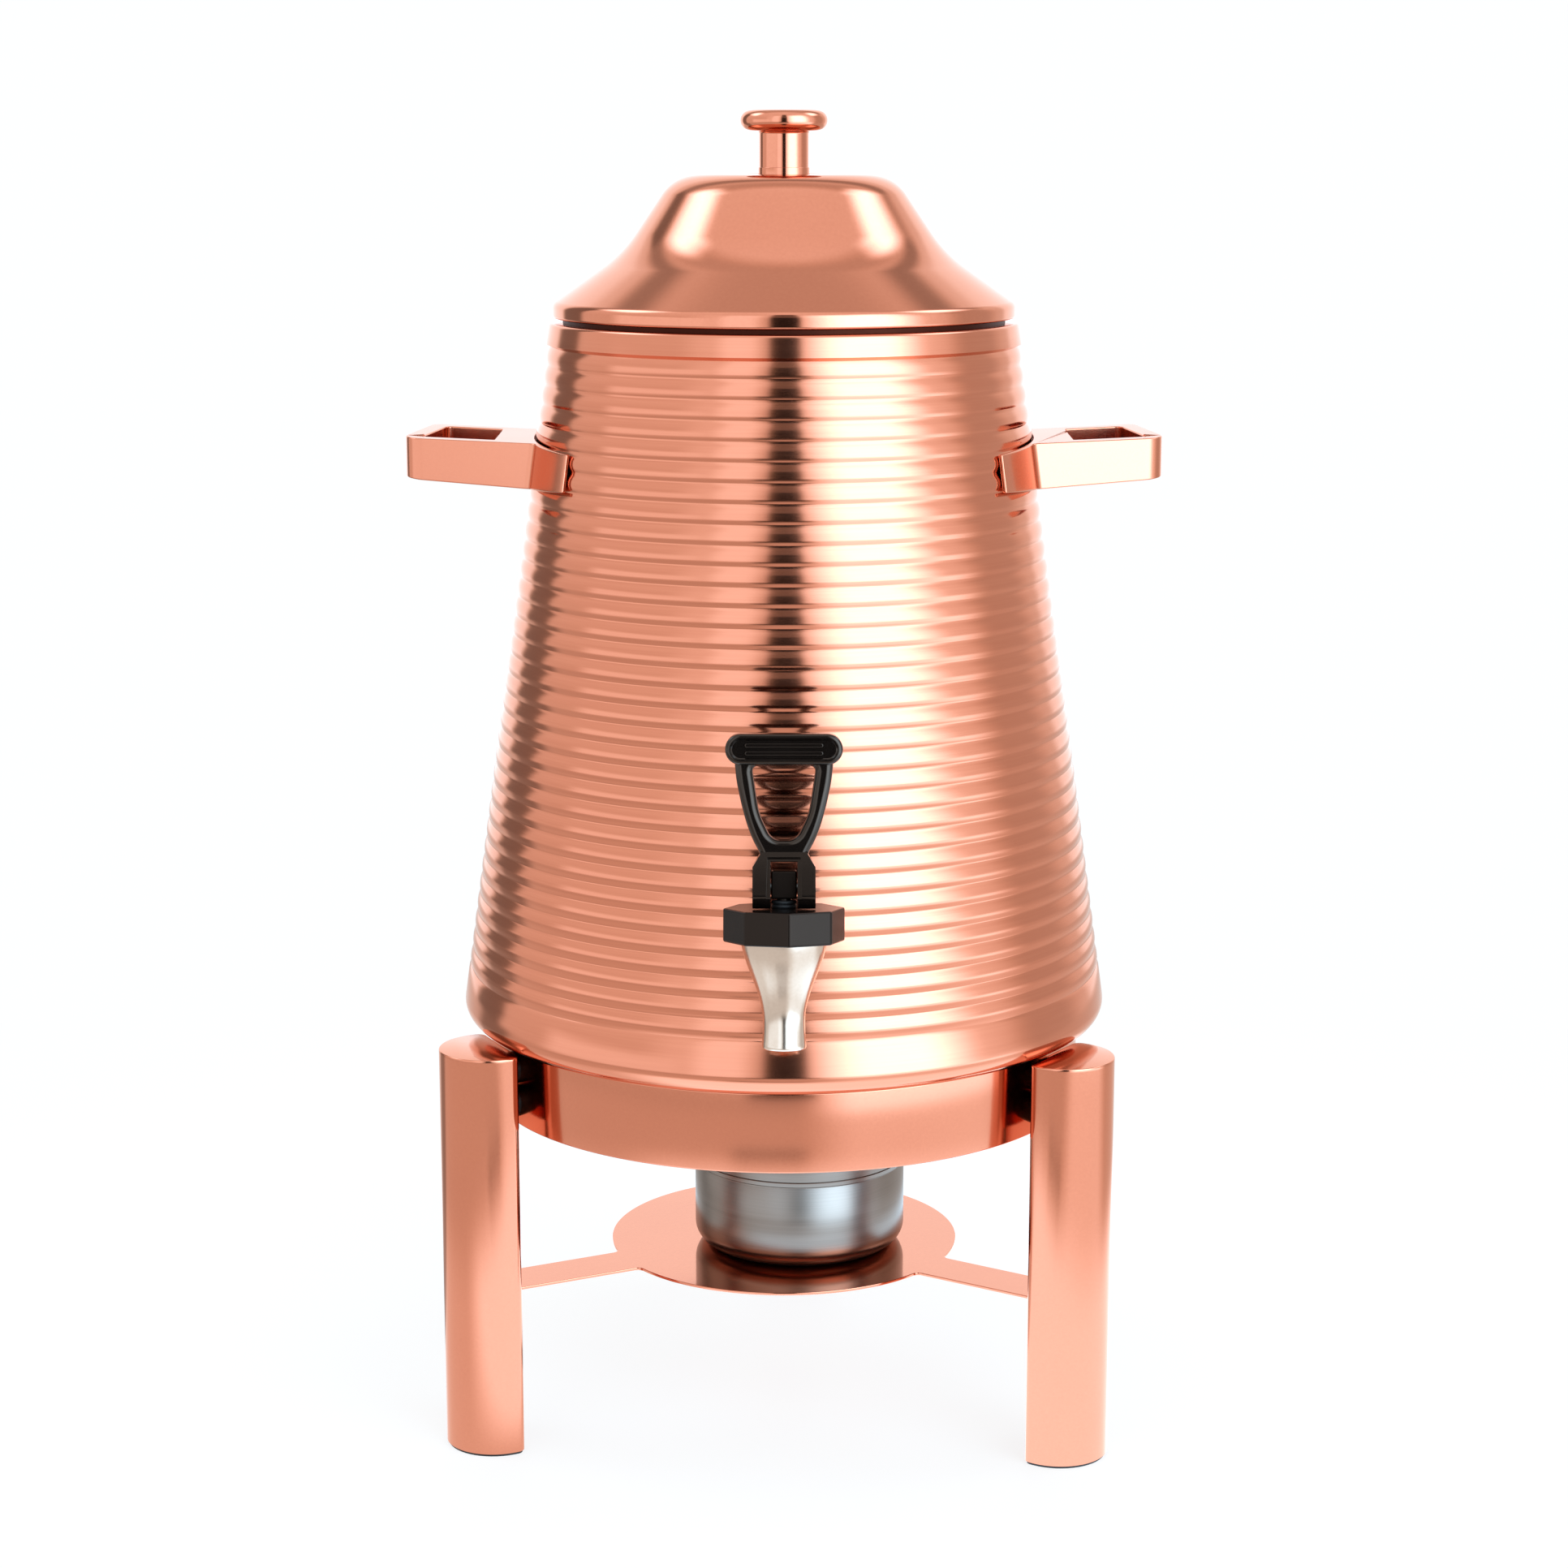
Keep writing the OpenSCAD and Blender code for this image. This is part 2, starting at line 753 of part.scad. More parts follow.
module tap_nut() {
    steel() at_shank() difference() {
        translate([0, nut_y + tap_nut_t, 0]) rotate([90, 0, 0])
            cylinder(h = tap_nut_t, r = tap_nut_af / 2 / cos(30), $fn = 6);
        rod_y(nut_y - overrun, nut_y + tap_nut_t + overrun, shank_r + thread_clear);
    }
}

// Radius of the spout's outside at a height: a flare below the neck, a soft bell above it
function spout_r(z) =
    z < spout_neck_z
        ? spout_neck_r + (spout_tip_r - spout_neck_r) * pow((spout_neck_z - z) / (spout_neck_z - spout_tip), 2)
        : spout_neck_r + (spout_top_r - spout_neck_r) * (1 - cos(180 * (z - spout_neck_z) / spout_blend_h)) / 2;

module tap_body() {
    outside = [for (i = [0:spout_steps])
        let (z = spout_tip + (spout_shoulder_z - spout_tip) * i / spout_steps) [spout_r(z), z]];
    chamber = [
        [thread_r, spout_shoulder_z], [thread_r, barrel_top], [chamber_r, barrel_top],
        [chamber_r, seat_z + chamber_cone_h], [chamber_floor_r, seat_z], [outlet_r, seat_z],
        [outlet_r, spout_tip + mouth_flare_h], [outlet_r + mouth_flare, spout_tip]
    ];
    steel() difference() {
        union() {
            at_tap() rotate_extrude() polygon(concat(outside, chamber));
            at_shank() {
                rod_y(flange_y - flange_t, flange_y, flange_r);
                rod_y(chamber_r - tap_reach, shank_end_y, shank_r);
            }
        }
        at_shank() rod_y(-tap_reach, shank_end_y + overrun, shank_bore_r);
    }
}

module tap_bonnet() {
    black() at_tap() difference() {
        translate([0, 0, bonnet_z]) rotate([0, 0, bonnet_turn - 90])
            cylinder(h = bonnet_h, r = bonnet_r, $fn = 8);
        translate([0, 0, bonnet_z - overrun])
            cylinder(h = seal_top - bonnet_z + overrun, r = thread_r + thread_clear);
        translate([0, 0, bonnet_z]) cylinder(h = bonnet_h + overrun, r = stem_r + screw_clear);
    }
}

module tap_seal() {
    silicone() at_tap() translate([0, 0, barrel_top]) washer(seal_r, stem_r + slide_clear, seal_t);
}

module stem_boot() {
    black() at_tap() translate([0, 0, bonnet_top]) washer(boot_r, stem_r + slide_clear, boot_t);
}

// A round wire along a helix, as rings of points joined by triangles
module helix_wire(low, high, r, wire_r, turns, sides, turn_steps) {
    rings = turns * turn_steps;
    points = [
        for (i = [0:rings], k = [0:sides - 1])
            let (a = 360 * i / turn_steps, b = 360 * k / sides, out = r + wire_r * cos(b))
            [out * cos(a), out * sin(a), low + (high - low) * i / rings + wire_r * sin(b)]
    ];
    skin = [
        for (i = [0:rings - 1], k = [0:sides - 1])
            let (here = i * sides + k, next = i * sides + (k + 1) % sides) each
            [[here, here + sides, next], [next, here + sides, next + sides]]
    ];
    start = [for (k = [1:sides - 2]) [0, k, k + 1]];
    last = rings * sides;
    finish = [for (k = [1:sides - 2]) [last, last + k + 1, last + k]];
    polyhedron(points, concat(skin, start, finish), convexity = 2 * turns);
}

module tap_spring() {
    gap = spring_wire_r + slide_clear;
    steel() at_tap()
        helix_wire(seat_z + cup_disc_t + gap, barrel_top - gap, spring_r, spring_wire_r,
                   spring_turns, spring_sides, spring_turn_steps);
}

module tap_stem() {
    black() at_tap() difference() {
        union() {
            translate([0, 0, seat_z + stem_sink]) cylinder(h = pin_z - seat_z - stem_sink, r = stem_r);
            translate([-head_w / 2, -head_depth / 2, pin_z - head_under])
                cube([head_w, head_depth, head_under + head_over]);
        }
        translate([0, 0, pin_z]) rod_x(-head_w, head_w, pin_r + pivot_clear);
    }
}

module seat_cup() {
    silicone() at_tap() difference() {
        translate([0, 0, seat_z]) union() {
            cylinder(h = cup_disc_t, r = cup_disc_r);
            cylinder(h = cup_disc_t + cup_hub_h, r = cup_hub_r);
        }
        translate([0, 0, seat_z + stem_sink]) cylinder(h = cup_disc_t + cup_hub_h, r = stem_r);
    }
}

module at_pin() {
    at_tap() translate([0, 0, pin_z]) children();
}

// Turns an outline in X and Z into a plate of a thickness, centred on the pin
module front_plate(t) {
    translate([0, t / 2, 0]) rotate([90, 0, 0]) linear_extrude(t) children();
}

module lever_outline() {
    arm_h = grip_low - waist_z;
    side = concat(
        [[waist_w / 2, arch_z], [waist_w / 2, waist_z]],
        [for (share = arm_shares) [share.y * arm_top_w / 2, waist_z + share.x * arm_h]],
        [[arm_top_w / 2, grip_low], [arm_top_w / 2, grip_low + grip_h / 2]]
    );
    difference() {
        polygon(concat(side, mirrored_x(side)));
        lever_pane();
    }
}

module lever_pane() {
    top = grip_low - pane_top_gap;
    side = [
        [pane_low_w / 2, top - pane_h], [pane_mid_w / 2, top - pane_mid_drop], [pane_top_w / 2, top]
    ];
    radii = [pane_low_r, pane_side_r, pane_corner_r];
    polygon(rounded(concat(side, mirrored_x(side)), concat(radii, reversed(radii))));
}

module grip_outline() {
    end_r = grip_h / 2;
    reach = grip_w / 2 - end_r;
    for (side = [-1, 1]) translate([side * reach, grip_low + end_r]) circle(end_r);
    translate([-reach, grip_low]) square([2 * reach, grip_h]);
}

// The fork seen from the front
module fork_front() {
    half = fork_w / 2;
    side = [
        [half, -fork_low - overrun], [half, fork_shoulder_z],
        [waist_w / 2, waist_z], [waist_w / 2, waist_z + overrun]
    ];
    polygon(concat(side, mirrored_x(side)));
}

// The fork seen from the side: the boss around the pin and the toe that bears on the bonnet
module fork_side() {
    circle(boss_r);
    polygon([[-boss_r, 0], [boss_r, 0], [lever_t / 2, waist_z + overrun], [-lever_t / 2, waist_z + overrun]]);
    translate([-toe_forward, -toe_down]) circle(toe_r);
    polygon([
        [-toe_forward, -toe_down - toe_r], [0, -boss_r], [0, waist_z],
        [-lever_t / 2, waist_z], [-toe_forward - toe_r, -toe_down]
    ]);
}

module fork_slice(w) {
    translate([-w / 2, 0, 0]) rotate([90, 0, 90]) linear_extrude(w) fork_side();
}

module tap_lever() {
    far = 2 * boss_r + 2 * toe_r;
    black() at_pin() difference() {
        union() {
            front_plate(lever_t) lever_outline();
            front_plate(grip_t) grip_outline();
            intersection() {
                fork_slice(fork_w);
                front_plate(2 * far) fork_front();
            }
        }
        translate([-cheek_in, -far, -far]) cube([slot_w, 2 * far, far + arch_z]);
        rod_x(-fork_w, fork_w, pin_r + weld_clear / 2);
    }
}

module lever_pin() {
    steel() at_pin() rod_x(pin_inset - fork_w / 2, fork_w / 2 - pin_inset, pin_r);
}

// Lid

module lid_shell() {
    waist_len = waist_r * tan((steep_angle - flare_angle) / 2);
    waist_start = waist_point - waist_len * [cos(steep_angle), -sin(steep_angle)];
    waist_mid = waist_start + waist_r * [sin(steep_angle), cos(steep_angle)];
    outer = concat(
        [[lid_hole_r, dish_z], [dish_r, dish_z], [dish_r + dish_edge_w, crown_top]],
        arc(crown_mid, crown_r, 90, 90 - steep_angle, corner_steps),
        arc(waist_mid, waist_r, 270 - steep_angle, 270 - flare_angle, corner_steps)
    );
    rim = arc(rim_mid, rim_r, 90 - flare_angle, -90, corner_steps);
    sheet = concat(outer, [rim[0]]);
    inner = moved(sheet, -lid_wall);
    rim_floor = [rim_mid.x - rim_floor_w, lid_z];
    copper() at_axis() rotate_extrude() polygon(concat(outer, rim, [rim_floor], reversed(inner)));
}

module lid_skirt() {
    section = [
        [skirt_r - skirt_wall, urn_top - skirt_h], [skirt_r, urn_top - skirt_h],
        [skirt_r, urn_top], [skirt_r + skirt_shoulder_w, urn_top],
        [skirt_r + skirt_shoulder_w, lid_z], [skirt_r - skirt_wall, lid_z]
    ];
    copper() at_axis() rotate_extrude() polygon(section);
}

module lid_knob() {
    button_z = dish_z + knob_h - knob_t / 2;
    copper() at_axis() difference() {
        rotate_extrude() {
            translate([0, dish_z]) square([knob_stem_r, knob_h - knob_t / 2]);
            translate([0, dish_z]) square([knob_stem_r + knob_collar_rise, knob_collar_h]);
            translate([0, button_z - knob_t / 2]) square([knob_r - knob_t / 2, knob_t]);
            translate([knob_r - knob_t / 2, button_z]) circle(knob_t / 2);
        }
        translate([0, 0, dish_z - overrun]) cylinder(h = knob_thread_h + overrun, r = knob_screw_r + thread_clear);
    }
}

module knob_washer() {
    steel() at_axis() translate([0, 0, dish_z - lid_wall - knob_washer_t])
        washer(knob_washer_r, lid_hole_r, knob_washer_t);
}

module knob_screw() {
    head_top = dish_z - lid_wall - knob_washer_t;
    steel() at_axis() {
        translate([0, 0, head_top - knob_head_t]) cylinder(h = knob_head_t, r = knob_head_r);
        translate([0, 0, head_top - knob_head_t])
            cylinder(h = dish_z + knob_thread_h - overrun - head_top + knob_head_t, r = knob_screw_r);
    }
}

// Burner

module at_burner() {
    at_axis() translate([burner_x, -burner_front, 0]) children();
}

module burner_cup() {
    outer = concat([[0, shelf_top]],
                   arc([burner_r - cup_corner_r, shelf_top + cup_corner_r], cup_corner_r, -90, 0, corner_steps),
                   [[burner_r, cover_z]]);
    steel() at_burner() rotate_extrude() polygon(concat(outer, reversed(moved(outer, burner_wall))));
}

module burner_cover() {
    inside = burner_r - burner_wall;
    ring_out = inside - cover_ring_clear;
    ring_in = ring_out - cover_ring_t;
    section = [
        [ring_in, cover_z - cover_ring_drop], [ring_out, cover_z - cover_ring_drop],
        [ring_out, cover_z], [burner_r, cover_z],
        [burner_r, cover_top], [flame_r, cover_top],
        [flame_r, cover_top - cover_plate_t], [inside, cover_top - cover_plate_t],
        [inside, cover_z + cover_step_h], [ring_in, cover_z + cover_step_h]
    ];
    steel() at_burner() difference() {
        rotate_extrude() polygon(section);
        translate([damper_arm, 0, cover_top - cover_plate_t - overrun])
            cylinder(h = cover_plate_t + 2 * overrun, r = rivet_r + weld_clear);
    }
}

module damper_rivet() {
    stack = cover_plate_t + damper_t;
    steel() at_burner() translate([damper_arm, 0, cover_top - cover_plate_t]) {
        cylinder(h = stack, r = rivet_r);
        translate([0, 0, -rivet_head_t]) cylinder(h = rivet_head_t, r = rivet_head_r);
        translate([0, 0, stack + pivot_clear]) cylinder(h = rivet_head_t, r = rivet_head_r);
        translate([0, 0, stack]) cylinder(h = rivet_head_t, r = rivet_r);
    }
}

module burner_damper() {
    steel() at_burner() translate([0, 0, cover_top]) linear_extrude(damper_t) difference() {
        union() {
            circle(damper_r);
            translate([-damper_arm, -damper_ear_r]) square([2 * damper_arm, 2 * damper_ear_r]);
            for (side = [-1, 1]) translate([side * damper_arm, 0]) circle(damper_ear_r);
        }
        translate([damper_arm, 0]) circle(rivet_r + pivot_clear);
    }
}

module damper_knob() {
    black() at_burner() translate([-damper_arm, 0, cover_top + damper_t]) {
        cylinder(h = damper_knob_neck_h, r = damper_knob_neck_r);
        translate([0, 0, damper_knob_neck_h])
            cylinder(h = damper_knob_h - damper_knob_neck_h, r = damper_knob_r);
    }
}

stand_ring();
leg_left();
leg_right();
leg_back();
leg_caps();
foot_pads();
leg_spacers();
leg_nut_plates();
leg_screws();
burner_shelf();
urn_body();
urn_base();
urn_foot();
handle_left();
handle_right();
tap_socket();
tap_body();
tap_gasket_outer();
tap_gasket_inner();
tap_washer();
tap_nut();
tap_bonnet();
tap_seal();
stem_boot();
tap_spring();
tap_stem();
seat_cup();
tap_lever();
lever_pin();
lid_shell();
lid_skirt();
lid_knob();
knob_washer();
knob_screw();
burner_cup();
burner_cover();
damper_rivet();
burner_damper();
damper_knob();
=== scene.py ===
import bmesh
import bpy
from math import acos, asin, atan, atan2, cos, degrees, pi, radians, sin, sqrt, tan
from mathutils import Matrix, Vector


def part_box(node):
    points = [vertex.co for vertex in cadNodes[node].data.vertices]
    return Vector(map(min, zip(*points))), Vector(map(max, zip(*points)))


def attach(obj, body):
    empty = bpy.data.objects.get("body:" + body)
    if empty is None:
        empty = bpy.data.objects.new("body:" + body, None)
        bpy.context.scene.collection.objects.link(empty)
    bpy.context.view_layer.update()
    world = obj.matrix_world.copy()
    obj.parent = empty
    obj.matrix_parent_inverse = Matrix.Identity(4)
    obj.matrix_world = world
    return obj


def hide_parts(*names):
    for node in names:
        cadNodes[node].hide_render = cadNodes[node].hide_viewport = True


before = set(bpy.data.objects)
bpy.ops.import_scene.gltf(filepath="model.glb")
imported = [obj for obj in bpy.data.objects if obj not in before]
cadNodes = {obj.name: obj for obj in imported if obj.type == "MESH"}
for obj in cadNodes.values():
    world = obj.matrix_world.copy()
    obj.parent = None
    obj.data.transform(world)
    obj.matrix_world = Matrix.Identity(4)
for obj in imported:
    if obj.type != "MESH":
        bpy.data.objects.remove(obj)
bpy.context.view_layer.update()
print("stage: frame loaded,", len(cadNodes), "CAD nodes")

mm = 0.001
mergeGap = 2e-6                               # points nearer than this become one, in metres
knobLow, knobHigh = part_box("lid_knob")
axisY = (knobLow.y + knobHigh.y) / 2          # the urn's axis, in metres
urnPlace = Matrix.Translation((0, axisY, 0))

# what several pieces share, in millimetres
urn = {"ringTop": 177.5, "baseHeight": 24.6, "ribs": 33, "ribPitch": 8.242, "ribRise": 0.9,
       "topGrooveRadius": 100.9, "taper": 0.14, "bandHeight": 9.3, "wall": 1.2}
seamZ = urn["ringTop"] + urn["baseHeight"]
topGrooveZ = seamZ + urn["ribs"] * urn["ribPitch"]
urnTop = topGrooveZ + urn["bandHeight"]


def grooveRadius(z):
    return urn["topGrooveRadius"] + urn["taper"] * (topGrooveZ - z)


def ribRadius(z):
    return grooveRadius(z) + urn["ribRise"]


# the tap stands square to the sloping wall, so it leans back
tap = {"shankZ": 238.7, "reach": 40.6, "lean": atan(urn["taper"]), "pinZ": 29.8}
shankPlace = (Matrix.Translation((0, axisY - grooveRadius(tap["shankZ"]) * mm, tap["shankZ"] * mm))
              @ Matrix.Rotation(-tap["lean"], 4, "X"))
tapPlace = shankPlace @ Matrix.Translation((0, -tap["reach"] * mm, 0))
pinPlace = tapPlace @ Matrix.Translation((0, 0, tap["pinZ"] * mm))


# ---- camera, at the photograph's viewing angle

view = {"back": 1.4095, "height": 0.5648, "down": 11.402, "lens": 74.58}
bpy.ops.object.camera_add(location=(0, axisY - view["back"], view["height"]),
                          rotation=(radians(90 - view["down"]), 0, 0))
camera = bpy.context.object
camera.data.lens = view["lens"]
camera.data.sensor_width = 36
camera.data.clip_end = 50
bpy.context.scene.camera = camera
print("stage: camera")


# ---- lines

def arcPoints(middle, radius, start, end, steps):
    turns = [radians(start + (end - start) * i / steps) for i in range(steps + 1)]
    return [(middle[0] + radius * cos(a), middle[1] + radius * sin(a)) for a in turns]


def roundedCorner(before, corner, after, radius, steps):
    back = (Vector(before) - Vector(corner)).normalized()
    ahead = (Vector(after) - Vector(corner)).normalized()
    half = acos(max(-1, min(1, back.dot(ahead)))) / 2
    middle = Vector(corner) + (back + ahead).normalized() * radius / sin(half)
    first = Vector(corner) + back * radius / tan(half) - middle
    last = Vector(corner) + ahead * radius / tan(half) - middle
    start = degrees(atan2(first.y, first.x))
    sweep = (degrees(atan2(last.y, last.x)) - start + 540) % 360 - 180
    return arcPoints(middle, radius, start, start + sweep, steps)


def roundedLine(points, radii, steps=6):
    line = []
    for i, radius in enumerate(radii):
        if radius:
            line += roundedCorner(points[i - 1], points[i], points[(i + 1) % len(points)], radius, steps)
        else:
            line.append(points[i])
    return line


def mirrored(line):
    return [(-x, y) for x, y in reversed(line)]


def smoothLine(points, steps):
    line = []
    ends = [points[0]] + list(points) + [points[-1]]
    for i in range(len(points) - 1):
        a, b, c, d = (Vector(p) for p in ends[i:i + 4])
        for k in range(steps):
            t = k / steps
            spot = 0.5 * (2 * b + (c - a) * t + (2 * a - 5 * b + 4 * c - d) * t ** 2
                          + (3 * b - a - 3 * c + d) * t ** 3)
            line.append((spot.x, spot.y))
    return line + [points[-1]]


def movedLine(line, by):
    out = []
    for i, here in enumerate(line):
        before = (Vector(line[max(i, 1)]) - Vector(line[max(i, 1) - 1])).normalized()
        after = (Vector(line[min(i + 1, len(line) - 1)]) - Vector(line[min(i, len(line) - 2)])).normalized()
        across = (Vector((-before.y, before.x)) + Vector((-after.y, after.x))).normalized()
        spot = Vector(here) + across * by / across.dot(Vector((-before.y, before.x)))
        out.append((spot.x, spot.y))
    return out


# ---- how pieces are drawn, turned, cut and finished

def deselect():
    if bpy.context.object and bpy.context.object.mode != "OBJECT":
        bpy.ops.object.mode_set(mode="OBJECT")
    bpy.ops.object.select_all(action="DESELECT")


def pick(*pieces):
    deselect()
    for piece in pieces:
        piece.select_set(True)
    bpy.context.view_layer.objects.active = pieces[0]


def drawLine(name, points):
    deselect()
    spots = [Vector(p) * mm for p in points]
    bpy.ops.mesh.primitive_plane_add(size=mm, location=spots[0])
    piece = bpy.context.object
    piece.name = name
    bpy.ops.object.mode_set(mode="EDIT")
    bpy.ops.mesh.select_mode(type="VERT")
    bpy.ops.mesh.select_all(action="SELECT")
    bpy.ops.mesh.merge(type="CENTER")
    for here, there in zip(spots, spots[1:]):
        bpy.ops.mesh.extrude_vertices_move(TRANSFORM_OT_translate={"value": there - here})
    return piece


def cleanMesh():
    bpy.ops.mesh.select_all(action="SELECT")
    bpy.ops.mesh.remove_doubles(threshold=mergeGap)
    bpy.ops.mesh.normals_make_consistent(inside=False)
    bpy.ops.object.mode_set(mode="OBJECT")
    bpy.ops.object.transform_apply(location=True, rotation=True, scale=True)


def turnPiece(name, profile, steps=192):
    piece = drawLine(name, [(r, 0, z) for r, z in profile])
    bpy.ops.mesh.select_all(action="SELECT")
    bpy.ops.mesh.spin(steps=steps, angle=2 * pi, center=(0, 0, 0), axis=(0, 0, 1))
    cleanMesh()
    return piece


def plate(name, outline, thickness, low=0):
    piece = drawLine(name, [(x, y, low) for x, y in outline])
    bpy.ops.mesh.select_all(action="SELECT")
    bpy.ops.mesh.edge_face_add()
    bpy.ops.mesh.extrude_region_move(TRANSFORM_OT_translate={"value": (0, 0, thickness * mm)})
    cleanMesh()
    return piece


def applied(piece, kind, **settings):
    pick(piece)
    modifier = piece.modifiers.new("made", kind)
    for key, value in settings.items():
        setattr(modifier, key, value)
    bpy.ops.object.modifier_apply(modifier=modifier.name)


def bevel(piece, width, segments=2, angle=35, clamp=False):
    applied(piece, "BEVEL", width=width * mm, segments=segments, limit_method="ANGLE",
            angle_limit=radians(angle), use_clamp_overlap=clamp, miter_outer="MITER_ARC")


def cut(piece, cutter, operation="DIFFERENCE"):
    applied(piece, "BOOLEAN", operation=operation, object=cutter, solver="EXACT")
    bpy.data.objects.remove(cutter)


def seat(piece, place):
    pick(piece)
    piece.matrix_world = place @ piece.matrix_world
    bpy.ops.object.transform_apply(location=True, rotation=True, scale=True)


def copyOf(piece, name):
    pick(piece)
    bpy.ops.object.duplicate()
    twin = bpy.context.object
    twin.name = name
    return twin


def joined(*pieces):
    pick(*pieces)
    bpy.ops.object.join()
    return bpy.context.object


def pickFaces(piece, test):
    bpy.ops.object.mode_set(mode="EDIT")
    bpy.ops.mesh.select_mode(type="FACE")
    bpy.ops.mesh.select_all(action="DESELECT")
    mesh = bmesh.from_edit_mesh(piece.data)
    for face in mesh.faces:
        face.select_set(test(face))
    bmesh.update_edit_mesh(piece.data)


def finish(piece, look, body, slot, *replaced, angle=35, flat=False):
    pick(piece)
    bpy.ops.object.shade_smooth_by_angle(angle=radians(angle))
    if flat:                                   # keeps the flats between bevels flat in reflections
        applied(piece, "WEIGHTED_NORMAL", keep_sharp=True)
    piece.data.name = piece.name
    piece.data.materials.clear()
    piece.data.materials.append(looks[look])
    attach(piece, body)
    if replaced:
        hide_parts(*replaced)


# ---- materials

def linear(red, green, blue):
    tones = [v / 255 for v in (red, green, blue)]
    return tuple(v / 12.92 if v <= 0.04045 else ((v + 0.055) / 1.055) ** 2.4 for v in tones) + (1,)


def addNode(tree, kind, **inputs):
    node = tree.nodes.new(kind)
    for key, value in inputs.items():
        socket = node.inputs[key] if isinstance(key, str) and key in node.inputs else None
        if socket is None:
            setattr(node, key, value)
        elif isinstance(value, bpy.types.NodeSocket):
            tree.links.new(value, socket)
        else:
            socket.default_value = value
    return node


def sums(tree, operation, *values):
    node = tree.nodes.new("ShaderNodeMath")
    node.operation = operation
    for socket, value in zip(node.inputs, values):
        if isinstance(value, bpy.types.NodeSocket):
            tree.links.new(value, socket)
        else:
            socket.default_value = value
    return node.outputs[0]


def startGroup(name, inputs, outputs):
    group = bpy.data.node_groups.new(name, "ShaderNodeTree")
    for label, kind, value in inputs:
        socket = group.interface.new_socket(name=label, in_out="INPUT", socket_type=kind)
        if value is not None:
            socket.default_value = value
    for label in outputs:
        group.interface.new_socket(name=label, in_out="OUTPUT", socket_type="NodeSocketFloat")
    return group, group.nodes.new("NodeGroupInput").outputs, group.nodes.new("NodeGroupOutput").inputs


# a value around a middle of 0.5, brought to zero and scaled
def swing(tree, value, spread):
    return sums(tree, "MULTIPLY", sums(tree, "SUBTRACT", value, 0.5), spread)


def mixed(tree, first, second, share):
    return sums(tree, "ADD", sums(tree, "MULTIPLY", first, 1 - share), sums(tree, "MULTIPLY", second, share))


def endGroup(group, out, roughness, tone, height):
    for label, value in (("Roughness", roughness), ("Tone", tone), ("Height", height)):
        group.links.new(value, out[label])


# fine grain and faint hand marks of polished sheet metal
surface = ["Roughness", "Tone", "Height"]
grainGroup, given, out = startGroup(
    "sheetGrain",
    [("Vector", "NodeSocketVector", None), ("Grain Scale", "NodeSocketFloat", 900),
     ("Mark Scale", "NodeSocketFloat", 14), ("Roughness", "NodeSocketFloat", 0.15),
     ("Spread", "NodeSocketFloat", 0.05)], surface)
grain = addNode(grainGroup, "ShaderNodeTexNoise", Vector=given["Vector"], Scale=given["Grain Scale"],
                Detail=2).outputs[0]
marks = addNode(grainGroup, "ShaderNodeTexNoise", Vector=given["Vector"], Scale=given["Mark Scale"],
                Detail=5).outputs[0]
change = sums(grainGroup, "ADD", sums(grainGroup, "MULTIPLY", swing(grainGroup, marks, given["Spread"]), 2),
              swing(grainGroup, grain, given["Spread"]))
endGroup(grainGroup, out, sums(grainGroup, "ADD", given["Roughness"], change),
         mixed(grainGroup, marks, grain, 0.5), grain)

# lines left by turning or brushing, along one direction of the stretched vector
brushGroup, given, out = startGroup(
    "brushLines",
    [("Vector", "NodeSocketVector", None), ("Lines", "NodeSocketFloat", 1.0),
     ("Roughness", "NodeSocketFloat", 0.25), ("Spread", "NodeSocketFloat", 0.1)], surface)
fine = addNode(brushGroup, "ShaderNodeTexNoise", Vector=given["Vector"], Scale=given["Lines"],
               Detail=4).outputs[0]
broad = addNode(brushGroup, "ShaderNodeTexNoise", Vector=given["Vector"],
                Scale=sums(brushGroup, "MULTIPLY", given["Lines"], 0.13), Detail=2).outputs[0]
both = mixed(brushGroup, fine, broad, 0.4)
change = swing(brushGroup, both, given["Spread"])
endGroup(brushGroup, out, sums(brushGroup, "ADD", given["Roughness"], change), both, fine)

# the grain of moulded plastic, with rubbed places that shine more
mouldGroup, given, out = startGroup(
    "mouldedGrain",
    [("Vector", "NodeSocketVector", None), ("Grain Scale", "NodeSocketFloat", 1200),
     ("Roughness", "NodeSocketFloat", 0.3), ("Rubbed", "NodeSocketFloat", 0.1)], surface)
pebble = addNode(mouldGroup, "ShaderNodeTexVoronoi", Vector=given["Vector"], Scale=given["Grain Scale"])
rubbed = addNode(mouldGroup, "ShaderNodeTexNoise", Vector=given["Vector"], Scale=60, Detail=4).outputs[0]
change = swing(mouldGroup, rubbed, given["Rubbed"])
endGroup(mouldGroup, out, sums(mouldGroup, "ADD", given["Roughness"], change), rubbed,
         pebble.outputs["Distance"])

effects = {"grain": (grainGroup, ("Grain Scale", "Roughness", "Spread")),
           "brush": (brushGroup, ("Lines", "Roughness", "Spread")),
           "mould": (mouldGroup, ("Grain Scale", "Roughness", "Rubbed"))}


